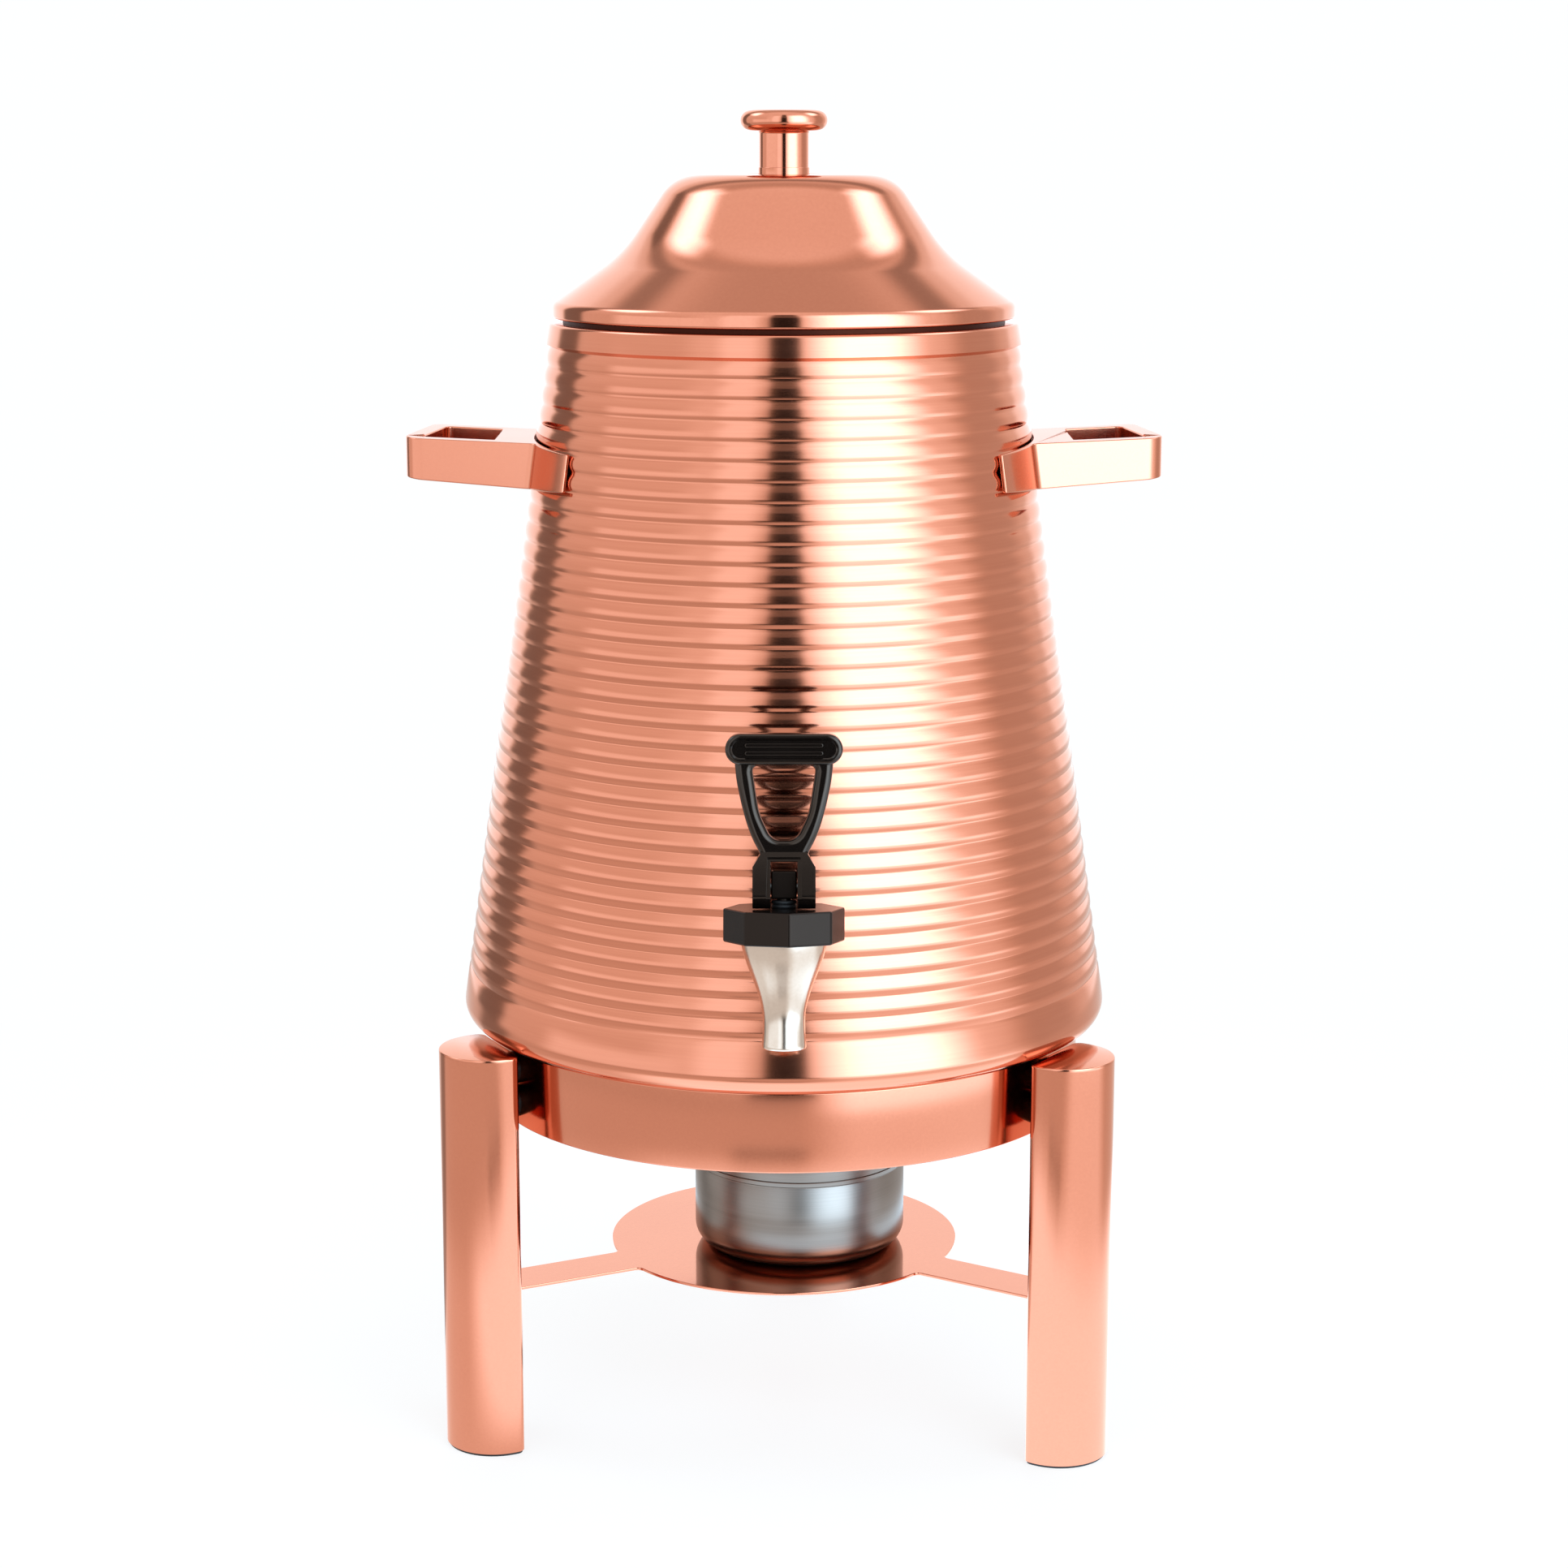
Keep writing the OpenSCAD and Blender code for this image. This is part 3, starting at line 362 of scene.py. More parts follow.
def makeLook(name, shine, dark, light, bump, effect, amounts, stretch=(1, 1, 1)):
    look = bpy.data.materials.new(name)
    look.use_nodes = True
    tree = look.node_tree
    shader = tree.nodes["Principled BSDF"]
    for key, value in shine.items():
        shader.inputs[key].default_value = value
    coords = addNode(tree, "ShaderNodeTexCoord")
    placed = addNode(tree, "ShaderNodeMapping", Vector=coords.outputs["Object"], Scale=stretch)
    group = tree.nodes.new("ShaderNodeGroup")
    group.node_tree, labels = effects[effect]
    tree.links.new(placed.outputs[0], group.inputs["Vector"])
    for label, amount in zip(labels, amounts):
        group.inputs[label].default_value = amount
    colour = addNode(tree, "ShaderNodeMix", data_type="RGBA")
    tree.links.new(group.outputs["Tone"], colour.inputs[0])
    colour.inputs[6].default_value = linear(*dark)
    colour.inputs[7].default_value = linear(*light)
    tree.links.new(colour.outputs[2], shader.inputs["Base Color"])
    tree.links.new(group.outputs["Roughness"], shader.inputs["Roughness"])
    raised = addNode(tree, "ShaderNodeBump", Strength=1.0, Distance=bump * mm)
    tree.links.new(group.outputs["Height"], raised.inputs["Height"])
    tree.links.new(raised.outputs[0], shader.inputs["Normal"])
    return look


copper = (202, 121, 92), (216, 137, 106)
lacquered = {"Metallic": 1, "Coat Weight": 0.3, "Coat Roughness": 0.06,
             "Specular Tint": (1, 0.84, 0.74, 1)}
bare = {"Metallic": 1}
brushed = {"Metallic": 1, "Anisotropic": 0.5}
plastic = {"Specular Tint": (1, 0.74, 0.58, 1), "Specular IOR Level": 0.5}
dullPlastic = {"Specular Tint": (1, 0.68, 0.52, 1), "Specular IOR Level": 0.24}
soft = {"Specular IOR Level": 0.4}
# how each shines, its dark and light tone, the height of its bumps in mm, its effect with that effect's
# amounts, and how far the effect is stretched
lookFacts = {
    "lidCopper": (lacquered, *copper, 0.0006, "grain", (700, 0.10, 0.03)),
    "bodyCopper": (lacquered, *copper, 0.0006, "brush", (6, 0.13, 0.05), (3, 3, 260)),
    "panCopper": (lacquered, *copper, 0.0006, "brush", (5, 0.13, 0.05), (4, 4, 200)),
    "shelfCopper": (lacquered, *copper, 0.0006, "grain", (800, 0.09, 0.04)),
    "standCopper": (lacquered, *copper, 0.0012, "grain", (1100, 0.13, 0.04)),
    "handleCopper": (lacquered, *copper, 0.0012, "grain", (1300, 0.19, 0.05)),
    # dull unpolished copper, painted darker still as the shade in the gap under the lid's rim
    "dullCopperAndShade": (bare, (62, 29, 20), (84, 42, 31), 0.002, "grain", (900, 0.5, 0.1)),
    # steel tinted warm: a painted reflection of the copper round it
    "spoutSteelAndReflection": (bare, (200, 179, 161), (219, 200, 183), 0.0006, "grain", (900, 0.19, 0.06)),
    "burnerSteel": (brushed, (124, 113, 105), (152, 140, 131), 0.001, "brush", (5, 0.3, 0.12), (4, 4, 420)),
    # plain steel painted near black: painted shade for the spacers, nut plates and screws in the gaps
    # between legs and ring
    "steelPaintedShade": (bare, (26, 23, 22), (40, 36, 34), 0.002, "grain", (900, 0.4, 0.1)),
    "plainSteel": (bare, (176, 176, 176), (206, 205, 203), 0.001, "brush", (3, 0.3, 0.12), (60, 60, 600)),
    "leverBlack": (plastic, (9, 6, 5), (15, 10, 8), 0.001, "mould", (1600, 0.13, 0.08)),
    "bonnetBlack": (dullPlastic, (8, 5, 4), (14, 9, 7), 0.006, "mould", (2600, 0.25, 0.1)),
    "rubber": (soft, (18, 16, 15), (29, 26, 25), 0.02, "mould", (1800, 0.6, 0.1)),
    "silicone": (soft, (212, 208, 200), (226, 222, 214), 0.004, "mould", (1500, 0.45, 0.1)),
}
looks = {name: makeLook(name, *facts) for name, facts in lookFacts.items()}
print("stage: materials")


# ---- the urn's wall, pan and lid

wall = {"mouthRadius": 92, "edgeRadius": 1.7, "edgeOut": 101.3, "edgeTurn": 8, "rise": 0.5,
        "bandRadius": 102.6, "bandStart": 0.8, "innerStep": 0.6,
        "ribShares": (0.035, 0.12, 0.25, 0.4, 0.6, 0.75, 0.88, 0.965)}
mouthZ = urnTop + wall["rise"]
edgeMiddle = (wall["edgeOut"] - wall["edgeRadius"], mouthZ - wall["edgeRadius"])
wallAcross = urn["wall"] * sqrt(1 + urn["taper"] ** 2)
ribs = [(topGrooveZ - (i + share) * urn["ribPitch"], share)
        for i in range(urn["ribs"]) for share in wall["ribShares"]]
profile = [(wall["mouthRadius"], mouthZ)]
profile += arcPoints(edgeMiddle, wall["edgeRadius"], 90, wall["edgeTurn"], 10)
profile += [(wall["bandRadius"], topGrooveZ + wall["bandStart"]), (grooveRadius(topGrooveZ), topGrooveZ)]
profile += [(grooveRadius(z) + urn["ribRise"] * sin(pi * share), z) for z, share in ribs]
profile += [(grooveRadius(seamZ), seamZ), (grooveRadius(seamZ) - wallAcross, seamZ),
            (grooveRadius(topGrooveZ) - wallAcross, topGrooveZ),
            (edgeMiddle[0] - wall["innerStep"], mouthZ - urn["wall"]),
            (wall["mouthRadius"], mouthZ - urn["wall"]), (wall["mouthRadius"], mouthZ)]
urnBody = turnPiece("urnBody", profile)
seat(urnBody, urnPlace)
finish(urnBody, "bodyCopper", "urn", "polished_copper", "urn_body", angle=60)

# the pan, its round corner a little clear of the ring and its bottom seated on it
pan = {"outRadius": 142.002, "cornerRadius": 8, "shoulder": 1.6, "clear": 1.1, "seatRadius": 130,
       "ramp": 2.5}
panLow = urn["ringTop"] + pan["clear"]
profile = [(grooveRadius(seamZ), seamZ), (ribRadius(seamZ - pan["shoulder"]), seamZ - pan["shoulder"])]
profile += arcPoints((pan["outRadius"] - pan["cornerRadius"], panLow + pan["cornerRadius"]),
                     pan["cornerRadius"], degrees(atan(urn["taper"])), -90, 24)
profile += [(pan["seatRadius"] + pan["ramp"], panLow), (pan["seatRadius"], urn["ringTop"]),
            (0, urn["ringTop"])]
inside = [(r, min(z, seamZ)) for r, z in movedLine(profile, -urn["wall"])]
urnPan = turnPiece("urnPan", inside[::-1] + profile)
seat(urnPan, urnPlace)
finish(urnPan, "panCopper", "urn", "polished_copper", "urn_base")

# the lid's bell: crown, steep side, hollow waist, flare and rim, each arc tangent to the next line
bell = {"gap": 2.7, "height": 62.8, "radius": 99.7, "rimRadius": 3.8, "rimFloor": 2.5, "wall": 1,
        "lip": 1.3, "lipDrop": 0.3, "crownRadius": 19.5, "crownFlat": 36.2, "steep": 55.7, "flare": 34.9,
        "waistRadius": 55, "holeRadius": 3.3, "dishRadius": 17, "dishEdge": 24, "dishDepth": 1}
lidZ, crownTop = urnTop + bell["gap"], urnTop + bell["height"]
dishZ = crownTop - bell["dishDepth"]
rimMiddle = Vector((bell["radius"] - bell["rimRadius"], lidZ + bell["rimRadius"]))
crownMiddle = Vector((bell["crownFlat"], crownTop - bell["crownRadius"]))
steep, flare = radians(bell["steep"]), radians(bell["flare"])
crownEnd = crownMiddle + bell["crownRadius"] * Vector((sin(steep), cos(steep)))
flareEnd = rimMiddle + bell["rimRadius"] * Vector((sin(flare), cos(flare)))
steepWay, flareWay = Vector((cos(steep), -sin(steep))), Vector((cos(flare), -sin(flare)))
gone = flareEnd - crownEnd
waistCorner = crownEnd + steepWay * (gone.x * flareWay.y - gone.y * flareWay.x) / (
    steepWay.x * flareWay.y - steepWay.y * flareWay.x)
waistStart = waistCorner - steepWay * bell["waistRadius"] * tan((steep - flare) / 2)
waistMiddle = waistStart + bell["waistRadius"] * Vector((sin(steep), cos(steep)))
profile = [(bell["holeRadius"], dishZ)]
for i in range(9):                             # the dish under the knob runs softly into the crown
    share = i / 8
    profile.append((bell["dishRadius"] + share * (bell["dishEdge"] - bell["dishRadius"]),
                    dishZ + bell["dishDepth"] * (1 - cos(pi * share)) / 2))
profile += arcPoints(crownMiddle, bell["crownRadius"], 90, 90 - bell["steep"], 24)
profile += arcPoints(waistMiddle, bell["waistRadius"], 270 - bell["steep"], 270 - bell["flare"], 20)
rim = arcPoints(rimMiddle, bell["rimRadius"], 90 - bell["flare"], 0, 14)
inside = movedLine(profile + rim[:1], -bell["wall"])
lipLow = lidZ - bell["lipDrop"]
rim += arcPoints((bell["radius"] - bell["lip"], lipLow + bell["lip"]), bell["lip"], 0, -90, 8)
profile += rim + [(rimMiddle.x - bell["rimFloor"], lipLow)] + inside[::-1] + profile[:1]
lidBell = turnPiece("lidBell", profile)
seat(lidBell, urnPlace)
finish(lidBell, "lidCopper", "lid", "polished_copper", "lid_shell")

knob = {"height": 27.6, "thickness": 8.8, "radius": 18.7, "stem": 10.6, "collarRise": 0.35,
        "collarHeight": 3.6, "collarLead": 0.5, "collarEdge": 0.15, "bend": 1.3, "screw": 3.1, "thread": 16}
buttonEdge = knob["thickness"] / 2
buttonUnder = knob["height"] - knob["thickness"]
profile = [(0, knob["height"])]
profile += arcPoints((knob["radius"] - buttonEdge, knob["height"] - buttonEdge), buttonEdge, 90, -90, 24)
profile += arcPoints((knob["stem"] + knob["bend"], buttonUnder - knob["bend"]), knob["bend"], 90, 180, 6)
profile += roundedLine([(knob["stem"], knob["collarHeight"] + knob["collarLead"]),
                        (knob["stem"], knob["collarHeight"]),
                        (knob["stem"] + knob["collarRise"], knob["collarHeight"]),
                        (knob["stem"] + knob["collarRise"], 0)], [0, 0, knob["collarEdge"], 0], 3)
profile += [(knob["screw"], 0), (knob["screw"], knob["thread"]), (0, knob["thread"])]
lidKnob = turnPiece("lidKnob", profile, 128)
seat(lidKnob, urnPlace @ Matrix.Translation((0, 0, dishZ * mm)))
finish(lidKnob, "lidCopper", "lid", "polished_copper", "lid_knob")
print("stage: urn and lid")


# ---- the stand's ring, legs and shelf

ring = {"radius": 130.652, "bore": 111.152, "height": 34.3, "wall": 1.5, "edgeRadius": 0.7}
ringLow = urn["ringTop"] - ring["height"]
ringInside = ring["radius"] - ring["wall"]
section = [(ring["bore"], urn["ringTop"] - ring["wall"]), (ringInside, urn["ringTop"] - ring["wall"]),
           (ringInside, ringLow), (ring["radius"], ringLow), (ring["radius"], urn["ringTop"]),
           (ring["bore"], urn["ringTop"])]
section = roundedLine(section, [0, 0, 0, ring["edgeRadius"], ring["edgeRadius"], 0], 5)
standRing = turnPiece("standRing", section + section[:1], 256)
seat(standRing, urnPlace)
finish(standRing, "standCopper", "stand", "polished_copper", "stand_ring")

leg = {"orbit": 142.002, "flat": 136.402, "radius": 21.6, "corner": 4, "wall": 1.5, "top": 178.4,
       "cap": 1.5, "pad": 1.2, "capBevel": 0.5, "turns": {"Left": 207, "Right": 327, "Back": 87}}


def legOutline():
    line = arcPoints((leg["orbit"], 0), leg["radius"], -90, 90, 64)
    inner = [(leg["flat"], leg["radius"]), (leg["flat"], -leg["radius"])]
    line += roundedCorner(line[-1], inner[0], inner[1], leg["corner"], 8)
    line += roundedCorner(inner[0], inner[1], line[0], leg["corner"], 8)
    return line


def legPlace(angle):
    return urnPlace @ Matrix.Rotation(radians(angle), 4, "Z")


legHigh = leg["top"] - leg["cap"]
outline = legOutline()
legTube = drawLine("legTube", [(x, y, leg["pad"]) for x, y in outline + outline[:1]])
bpy.ops.mesh.select_all(action="SELECT")
bpy.ops.mesh.extrude_region_move(TRANSFORM_OT_translate={"value": (0, 0, (legHigh - leg["pad"]) * mm)})
cleanMesh()
applied(legTube, "SOLIDIFY", thickness=leg["wall"] * mm, offset=-1)
legCap = plate("legCap", outline, leg["cap"], legHigh)
pick(legCap)
pickFaces(legCap, lambda face: face.normal.z > 0.9)
bpy.ops.mesh.region_to_loop()
bpy.ops.mesh.bevel(offset=leg["capBevel"] * mm, segments=3, affect="EDGES")
bpy.ops.object.mode_set(mode="OBJECT")
caps = []
for side, angle in leg["turns"].items():
    tube = copyOf(legTube, "leg" + side)
    seat(tube, legPlace(angle))
    finish(tube, "standCopper", "stand", "polished_copper", "leg_" + side.lower())
    cap = copyOf(legCap, "cap" + side)
    seat(cap, legPlace(angle))
    caps.append(cap)
bpy.data.objects.remove(legTube)
bpy.data.objects.remove(legCap)
legCaps = joined(*caps)
legCaps.name = "legCaps"
finish(legCaps, "standCopper", "stand", "polished_copper", "leg_caps")

shelf = {"radius": 78, "top": 72, "thickness": 1.2, "arm": 23, "fillet": 3, "bevel": 0.3}
armHalf = shelf["arm"] / 2
filletMiddle = (sqrt((shelf["radius"] + shelf["fillet"]) ** 2 - (armHalf + shelf["fillet"]) ** 2),
                armHalf + shelf["fillet"])
filletTurn = degrees(atan2(filletMiddle[1], filletMiddle[0]))
turns = sorted(leg["turns"].values())
outline = []
for i, turn in enumerate(turns):
    side = [(leg["flat"], armHalf)] + arcPoints(filletMiddle, shelf["fillet"], -90, filletTurn - 180, 6)
    arm = [(x, -y) for x, y in reversed(side)] + side
    outline += [tuple(Matrix.Rotation(radians(turn), 2) @ Vector(spot)) for spot in arm]
    outline += arcPoints((0, 0), shelf["radius"], turn + filletTurn, turn + 120 - filletTurn, 36)[1:-1]
burnerShelf = plate("burnerShelf", outline, shelf["thickness"], shelf["top"] - shelf["thickness"])
bevel(burnerShelf, shelf["bevel"], 2)
seat(burnerShelf, urnPlace)
finish(burnerShelf, "shelfCopper", "stand", "polished_copper", "burner_shelf", flat=True)
print("stage: stand")


# ---- the handles, with u along the handle and v across it, its front at -v

grab = {"height": 19.5, "drop": 48.6, "front": 51.2, "width": 46.6, "reach": 47.3, "bar": 6,
        "outerBar": 8, "windowFront": 7, "windowBack": 14, "windowCorner": 3, "sweep": 12.5,
        "slope": 1.7, "tilt": 2.3, "taper": 2.4, "frontCorner": 10, "backCorner": 4, "bend": 4,
        "tabLength": 37, "tabThickness": 2, "tabTrims": (2.1, 1.6), "tabZone": 6, "topInset": 2,
        "windowNotch": 0.6, "gap": 0.15, "bevel": 0.6}
grabZ = urnTop - grab["drop"] - grab["height"]
rootU = ribRadius(grabZ)
outU = rootU + grab["reach"]
frontV, backV = -grab["front"], grab["width"] - grab["front"]
frontTurn, backTurn = degrees(asin(frontV / rootU)), degrees(asin(backV / rootU))
tabTurn = degrees(grab["tabLength"] / rootU)


def handleOutline(against):
    bend = grab["bend"]
    outside = against + grab["tabThickness"]
    frontBend = (sqrt((outside + bend) ** 2 - (frontV - bend) ** 2), frontV - bend)
    backBend = (sqrt((outside + bend) ** 2 - (backV + bend) ** 2), backV + bend)
    frontFrom = degrees(atan2(frontBend[1], frontBend[0]))
    backFrom = degrees(atan2(backBend[1], backBend[0]))
    corners = [(frontBend[0], frontV), (outU, frontV), (outU, backV), (backBend[0], backV)]
    line = arcPoints((0, 0), outside, frontTurn - tabTurn, frontFrom, 16)
    line += arcPoints(frontBend, bend, frontFrom + 180, 90, 10)[1:]
    line += roundedCorner(*corners[:3], grab["frontCorner"], 14)
    line += roundedCorner(*corners[1:], grab["backCorner"], 8)
    line += arcPoints(backBend, bend, -90, backFrom - 180, 10)
    line += arcPoints((0, 0), outside, backFrom, backTurn + tabTurn, 16)[1:]
    return line + arcPoints((0, 0), against, backTurn + tabTurn, frontTurn - tabTurn, 60)


def handleSpot(u, v, top):
    across = min(max(v, frontV), backV) - (frontV + backV) / 2
    out = max(0, u - rootU)
    rise = tan(radians(grab["slope"])) * out + tan(radians(grab["tilt"])) * across
    turn = degrees(atan2(v, u))
    onTab = u < rootU + grab["tabZone"]
    beyond = min(1, max(0, frontTurn - turn, turn - backTurn) / tabTurn) if onTab else 0
    lowTrim, highTrim = grab["tabTrims"]
    if top:
        return u, v, grabZ + grab["height"] + rise - beyond * highTrim
    return u, v, grabZ + rise + tan(radians(grab["taper"])) * out + beyond * lowTrim


levels = []
for top in (False, True):
    outline = handleOutline(ribRadius(grabZ + top * (grab["height"] - grab["topInset"])) + grab["gap"])
    levels.append(drawLine("level", [handleSpot(u, v, top) for u, v in outline + outline[:1]]))
handle = joined(*levels)
bpy.ops.object.mode_set(mode="EDIT")
bpy.ops.mesh.select_all(action="SELECT")
bpy.ops.mesh.remove_doubles(threshold=mergeGap)
bpy.ops.mesh.bridge_edge_loops()
bpy.ops.mesh.select_all(action="SELECT")
bpy.ops.mesh.fill_holes(sides=0)
cleanMesh()
windowLine = [(rootU + grab["windowFront"], frontV + grab["bar"]),
              (outU - grab["outerBar"], frontV + grab["bar"]),
              (outU - grab["outerBar"], backV - grab["bar"]),
              (rootU + grab["windowBack"], backV - grab["bar"])]
notch, corner = grab["windowNotch"], grab["windowCorner"]
cut(handle, plate("window", roundedLine(windowLine, [notch, corner, corner, notch]), 3 * grab["height"],
                  grabZ - grab["height"]))
bevel(handle, grab["bevel"], 3)
seat(handle, Matrix.Rotation(radians(grab["sweep"]), 4, "Z"))
handleLeft = copyOf(handle, "handleLeft")
handle.name = "handleRight"
pick(handleLeft)
handleLeft.scale = (-1, 1, 1)
bpy.ops.object.transform_apply(scale=True)
bpy.ops.object.mode_set(mode="EDIT")
cleanMesh()
for piece, node in ((handleLeft, "handle_left"), (handle, "handle_right")):
    seat(piece, urnPlace)
    finish(piece, "handleCopper", "urn", "polished_copper", node, flat=True)
print("stage: handles")


# ---- the tap, in its own frame: z is the spout's axis and the front is at -y

spout = {"tip": -34.2, "neck": -23.6, "blend": 36.4, "neckRadius": 8.3, "tipRadius": 8.9,
         "topRadius": 17.3, "shoulder": 8, "lip": 1.1, "outlet": 5.5, "outletFlare": 1, "flareHeight": 3,
         "thread": 16.2, "barrelTop": 15, "chamber": 13.4, "chamberFloor": 9.8, "seat": -6.5, "cone": 9}
lipZ = spout["tip"] + spout["lip"]


def spoutRadius(z):
    if z < spout["neck"]:
        share = (spout["neck"] - z) / (spout["neck"] - spout["tip"])
        return spout["neckRadius"] + (spout["tipRadius"] - spout["neckRadius"]) * share ** 2
    share = (z - spout["neck"]) / spout["blend"]
    return spout["neckRadius"] + (spout["topRadius"] - spout["neckRadius"]) * (1 - cos(pi * share)) / 2


heights = [lipZ + (spout["shoulder"] - lipZ) * i / 40 for i in range(1, 41)]
profile = [(spout["outlet"] + spout["outletFlare"], spout["tip"])]
profile += arcPoints((spoutRadius(lipZ) - spout["lip"], lipZ), spout["lip"], -90, 0, 6)
profile += [(spoutRadius(z), z) for z in heights]
profile += [(spout["thread"], spout["shoulder"]), (spout["thread"], spout["barrelTop"]),
            (spout["chamber"], spout["barrelTop"]), (spout["chamber"], spout["seat"] + spout["cone"]),
            (spout["chamberFloor"], spout["seat"]), (spout["outlet"], spout["seat"]),
            (spout["outlet"], spout["tip"] + spout["flareHeight"])]
tapBody = turnPiece("tapBody", profile + profile[:1], 128)

# along the shank the profile's height runs out of the wall
outward = Matrix.Rotation(pi / 2, 4, "X")
shank = {"radius": 8, "bore": 5, "end": -16.543, "flange": 12.5, "flangeLow": 4.6, "flangeHigh": 7.6,
         "flangeEdges": [0, 0.4, 0.9, 0], "bend": 1.5, "reach": 27.2}
flange = [(shank["radius"], shank["flangeLow"]), (shank["flange"], shank["flangeLow"]),
          (shank["flange"], shank["flangeHigh"]), (shank["radius"] + shank["bend"], shank["flangeHigh"])]
profile = [(shank["bore"], shank["end"]), (shank["radius"], shank["end"])]
profile += roundedLine(flange, shank["flangeEdges"], 4)
profile += arcPoints((shank["radius"] + shank["bend"], shank["flangeHigh"] + shank["bend"]),
                     shank["bend"], 270, 180, 6)[1:]
profile += [(shank["radius"], shank["reach"]), (shank["bore"], shank["reach"])]
shankPart = turnPiece("shank", profile + profile[:1], 96)
seat(shankPart, Matrix.Translation((0, tap["reach"] * mm, 0)) @ outward)
tapBody = joined(tapBody, shankPart)
seat(tapBody, tapPlace)
# the spout's steel carries a warm tint that is a painted reflection of the copper
finish(tapBody, "spoutSteelAndReflection", "urn", "bright_steel", "tap_body", angle=40)

socket = {"radius": 15, "bore": 8.3, "low": -3.043, "high": 2.6, "edges": [0, 0, 0.8, 0.3]}
outline = roundedLine([(socket["bore"], socket["low"]), (socket["radius"], socket["low"]),
                       (socket["radius"], socket["high"]), (socket["bore"], socket["high"])],
                      socket["edges"], 4)
tapSocket = turnPiece("tapSocket", outline + outline[:1], 96)
seat(tapSocket, shankPlace @ outward)
finish(tapSocket, "handleCopper", "urn", "polished_copper", "tap_socket")

bonnet = {"radius": 24.1, "height": 13.3, "low": 8.2, "turn": 5, "bevel": 0.9, "cavity": 16.3,
          "cavityTop": 17, "hole": 3.3, "overrun": 1}
outline = arcPoints((0, 0), bonnet["radius"], bonnet["turn"] - 90, bonnet["turn"] + 270, 8)[:-1]
tapBonnet = plate("tapBonnet", outline, bonnet["height"], bonnet["low"])
bevel(tapBonnet, bonnet["bevel"], 3)
bonnetTop = bonnet["low"] + bonnet["height"]
cavityLow, holeTop = bonnet["low"] - bonnet["overrun"], bonnetTop + bonnet["overrun"]
cut(tapBonnet, turnPiece("cavity", [(0, cavityLow), (bonnet["cavity"], cavityLow),
                                    (bonnet["cavity"], bonnet["cavityTop"]),
                                    (bonnet["hole"], bonnet["cavityTop"]),
                                    (bonnet["hole"], holeTop), (0, holeTop)], 96))
seat(tapBonnet, tapPlace)
finish(tapBonnet, "bonnetBlack", "urn", "black_matt", "tap_bonnet", flat=True)

boot = {"radius": 4.6, "inner": 3.1, "height": 3, "rib": 0.7, "ribInset": 0.3, "ribTurn": 80,
        "ribHeights": (0.75, 2.25), "topEdge": 0.6}
profile = [(boot["inner"], 0), (boot["radius"], 0)]
for middle in boot["ribHeights"]:
    profile += arcPoints((boot["radius"] - boot["ribInset"], middle), boot["rib"], -boot["ribTurn"],
                         boot["ribTurn"], 6)
profile += [(boot["inner"] + boot["topEdge"], boot["height"]), (boot["inner"], boot["height"]),
            (boot["inner"], 0)]
stemBoot = turnPiece("stemBoot", profile, 64)
seat(stemBoot, tapPlace @ Matrix.Translation((0, 0, bonnetTop * mm)))
finish(stemBoot, "rubber", "urn", "black_rubber", "stem_boot")

stem = {"radius": 3, "low": -3.5, "headWidth": 10, "headDepth": 8, "headUnder": 4.6, "headOver": 6.4,
        "headBevel": 0.8, "overlap": 1}
headLow = tap["pinZ"] - stem["headUnder"]
rodTop = headLow + stem["overlap"]
tapStem = turnPiece("tapStem", [(0, stem["low"]), (stem["radius"], stem["low"]), (stem["radius"], rodTop),
                                (0, rodTop)], 48)
across, deep = stem["headWidth"] / 2, stem["headDepth"] / 2
head = plate("head", [(-across, -deep), (across, -deep), (across, deep), (-across, deep)],
             stem["headUnder"] + stem["headOver"], headLow)
bevel(head, stem["headBevel"], 3)
tapStem = joined(tapStem, head)
seat(tapStem, tapPlace)
finish(tapStem, "bonnetBlack", "stem", "black_matt", "tap_stem", flat=True)
print("stage: tap")


# ---- the lever, measured from its pin

lever = {"thickness": 9, "top": 60.1, "armBevel": 2.6,
         "side": [(9.4, 10.3), (9.4, 12.9), (12.81, 19.9), (15.71, 28.65), (18.3, 40.2), (19.2, 47.9),
                  (19.2, 52)],
         "pane": [(4.8, 18.6), (9.8, 29), (12.5, 47.4)], "paneRadii": [5.5, 27, 2],
         "gripHeight": 12.2, "gripWidth": 46, "gripThickness": 12, "gripBevel": 1.5, "gripFace": 2e-5,
         "grooveLand": 0.3, "grooveSteps": ((0.45, 0.5), (0.45, 0.4)),
         "ridgeOffset": 1.55, "ridgeInset": 2.4, "ridgeRadius": 0.85, "ridgeHeight": 1.4, "ridgeLow": 4.4,
         "ridgeBevel": 0.4,
         "forkWidth": 24.6, "forkShoulder": 8.2, "forkBevel": 0.6, "waist": (9.4, 12.9), "frontLift": 1,
         "slot": 10.6, "slotTop": 10.3, "boss": 6.5, "toeRadius": 6, "toe": (-7, -2), "pinHole": 1.55,
         "recess": [(-7.6, -30), (7.6, -30), (6.5, 15.8), (-6.5, 15.8)], "recessLow": -1, "recessHeight": 9}
cutter = {"maskLow": -12, "maskOver": 1, "maskReach": 30, "slotReach": 40, "holeReach": 20}
# a plate drawn in x and z, its thickness along y, and one drawn in y and z
facingFront = Matrix.Rotation(pi / 2, 4, "X")
facingSide = Matrix(((0, 0, 1, 0), (1, 0, 0, 0), (0, 1, 0, 0), (0, 0, 0, 1)))


def capsule(middle, reach, radius, steps=18):
    return (arcPoints((reach, middle), radius, -90, 90, steps)
            + arcPoints((-reach, middle), radius, 90, 270, steps))


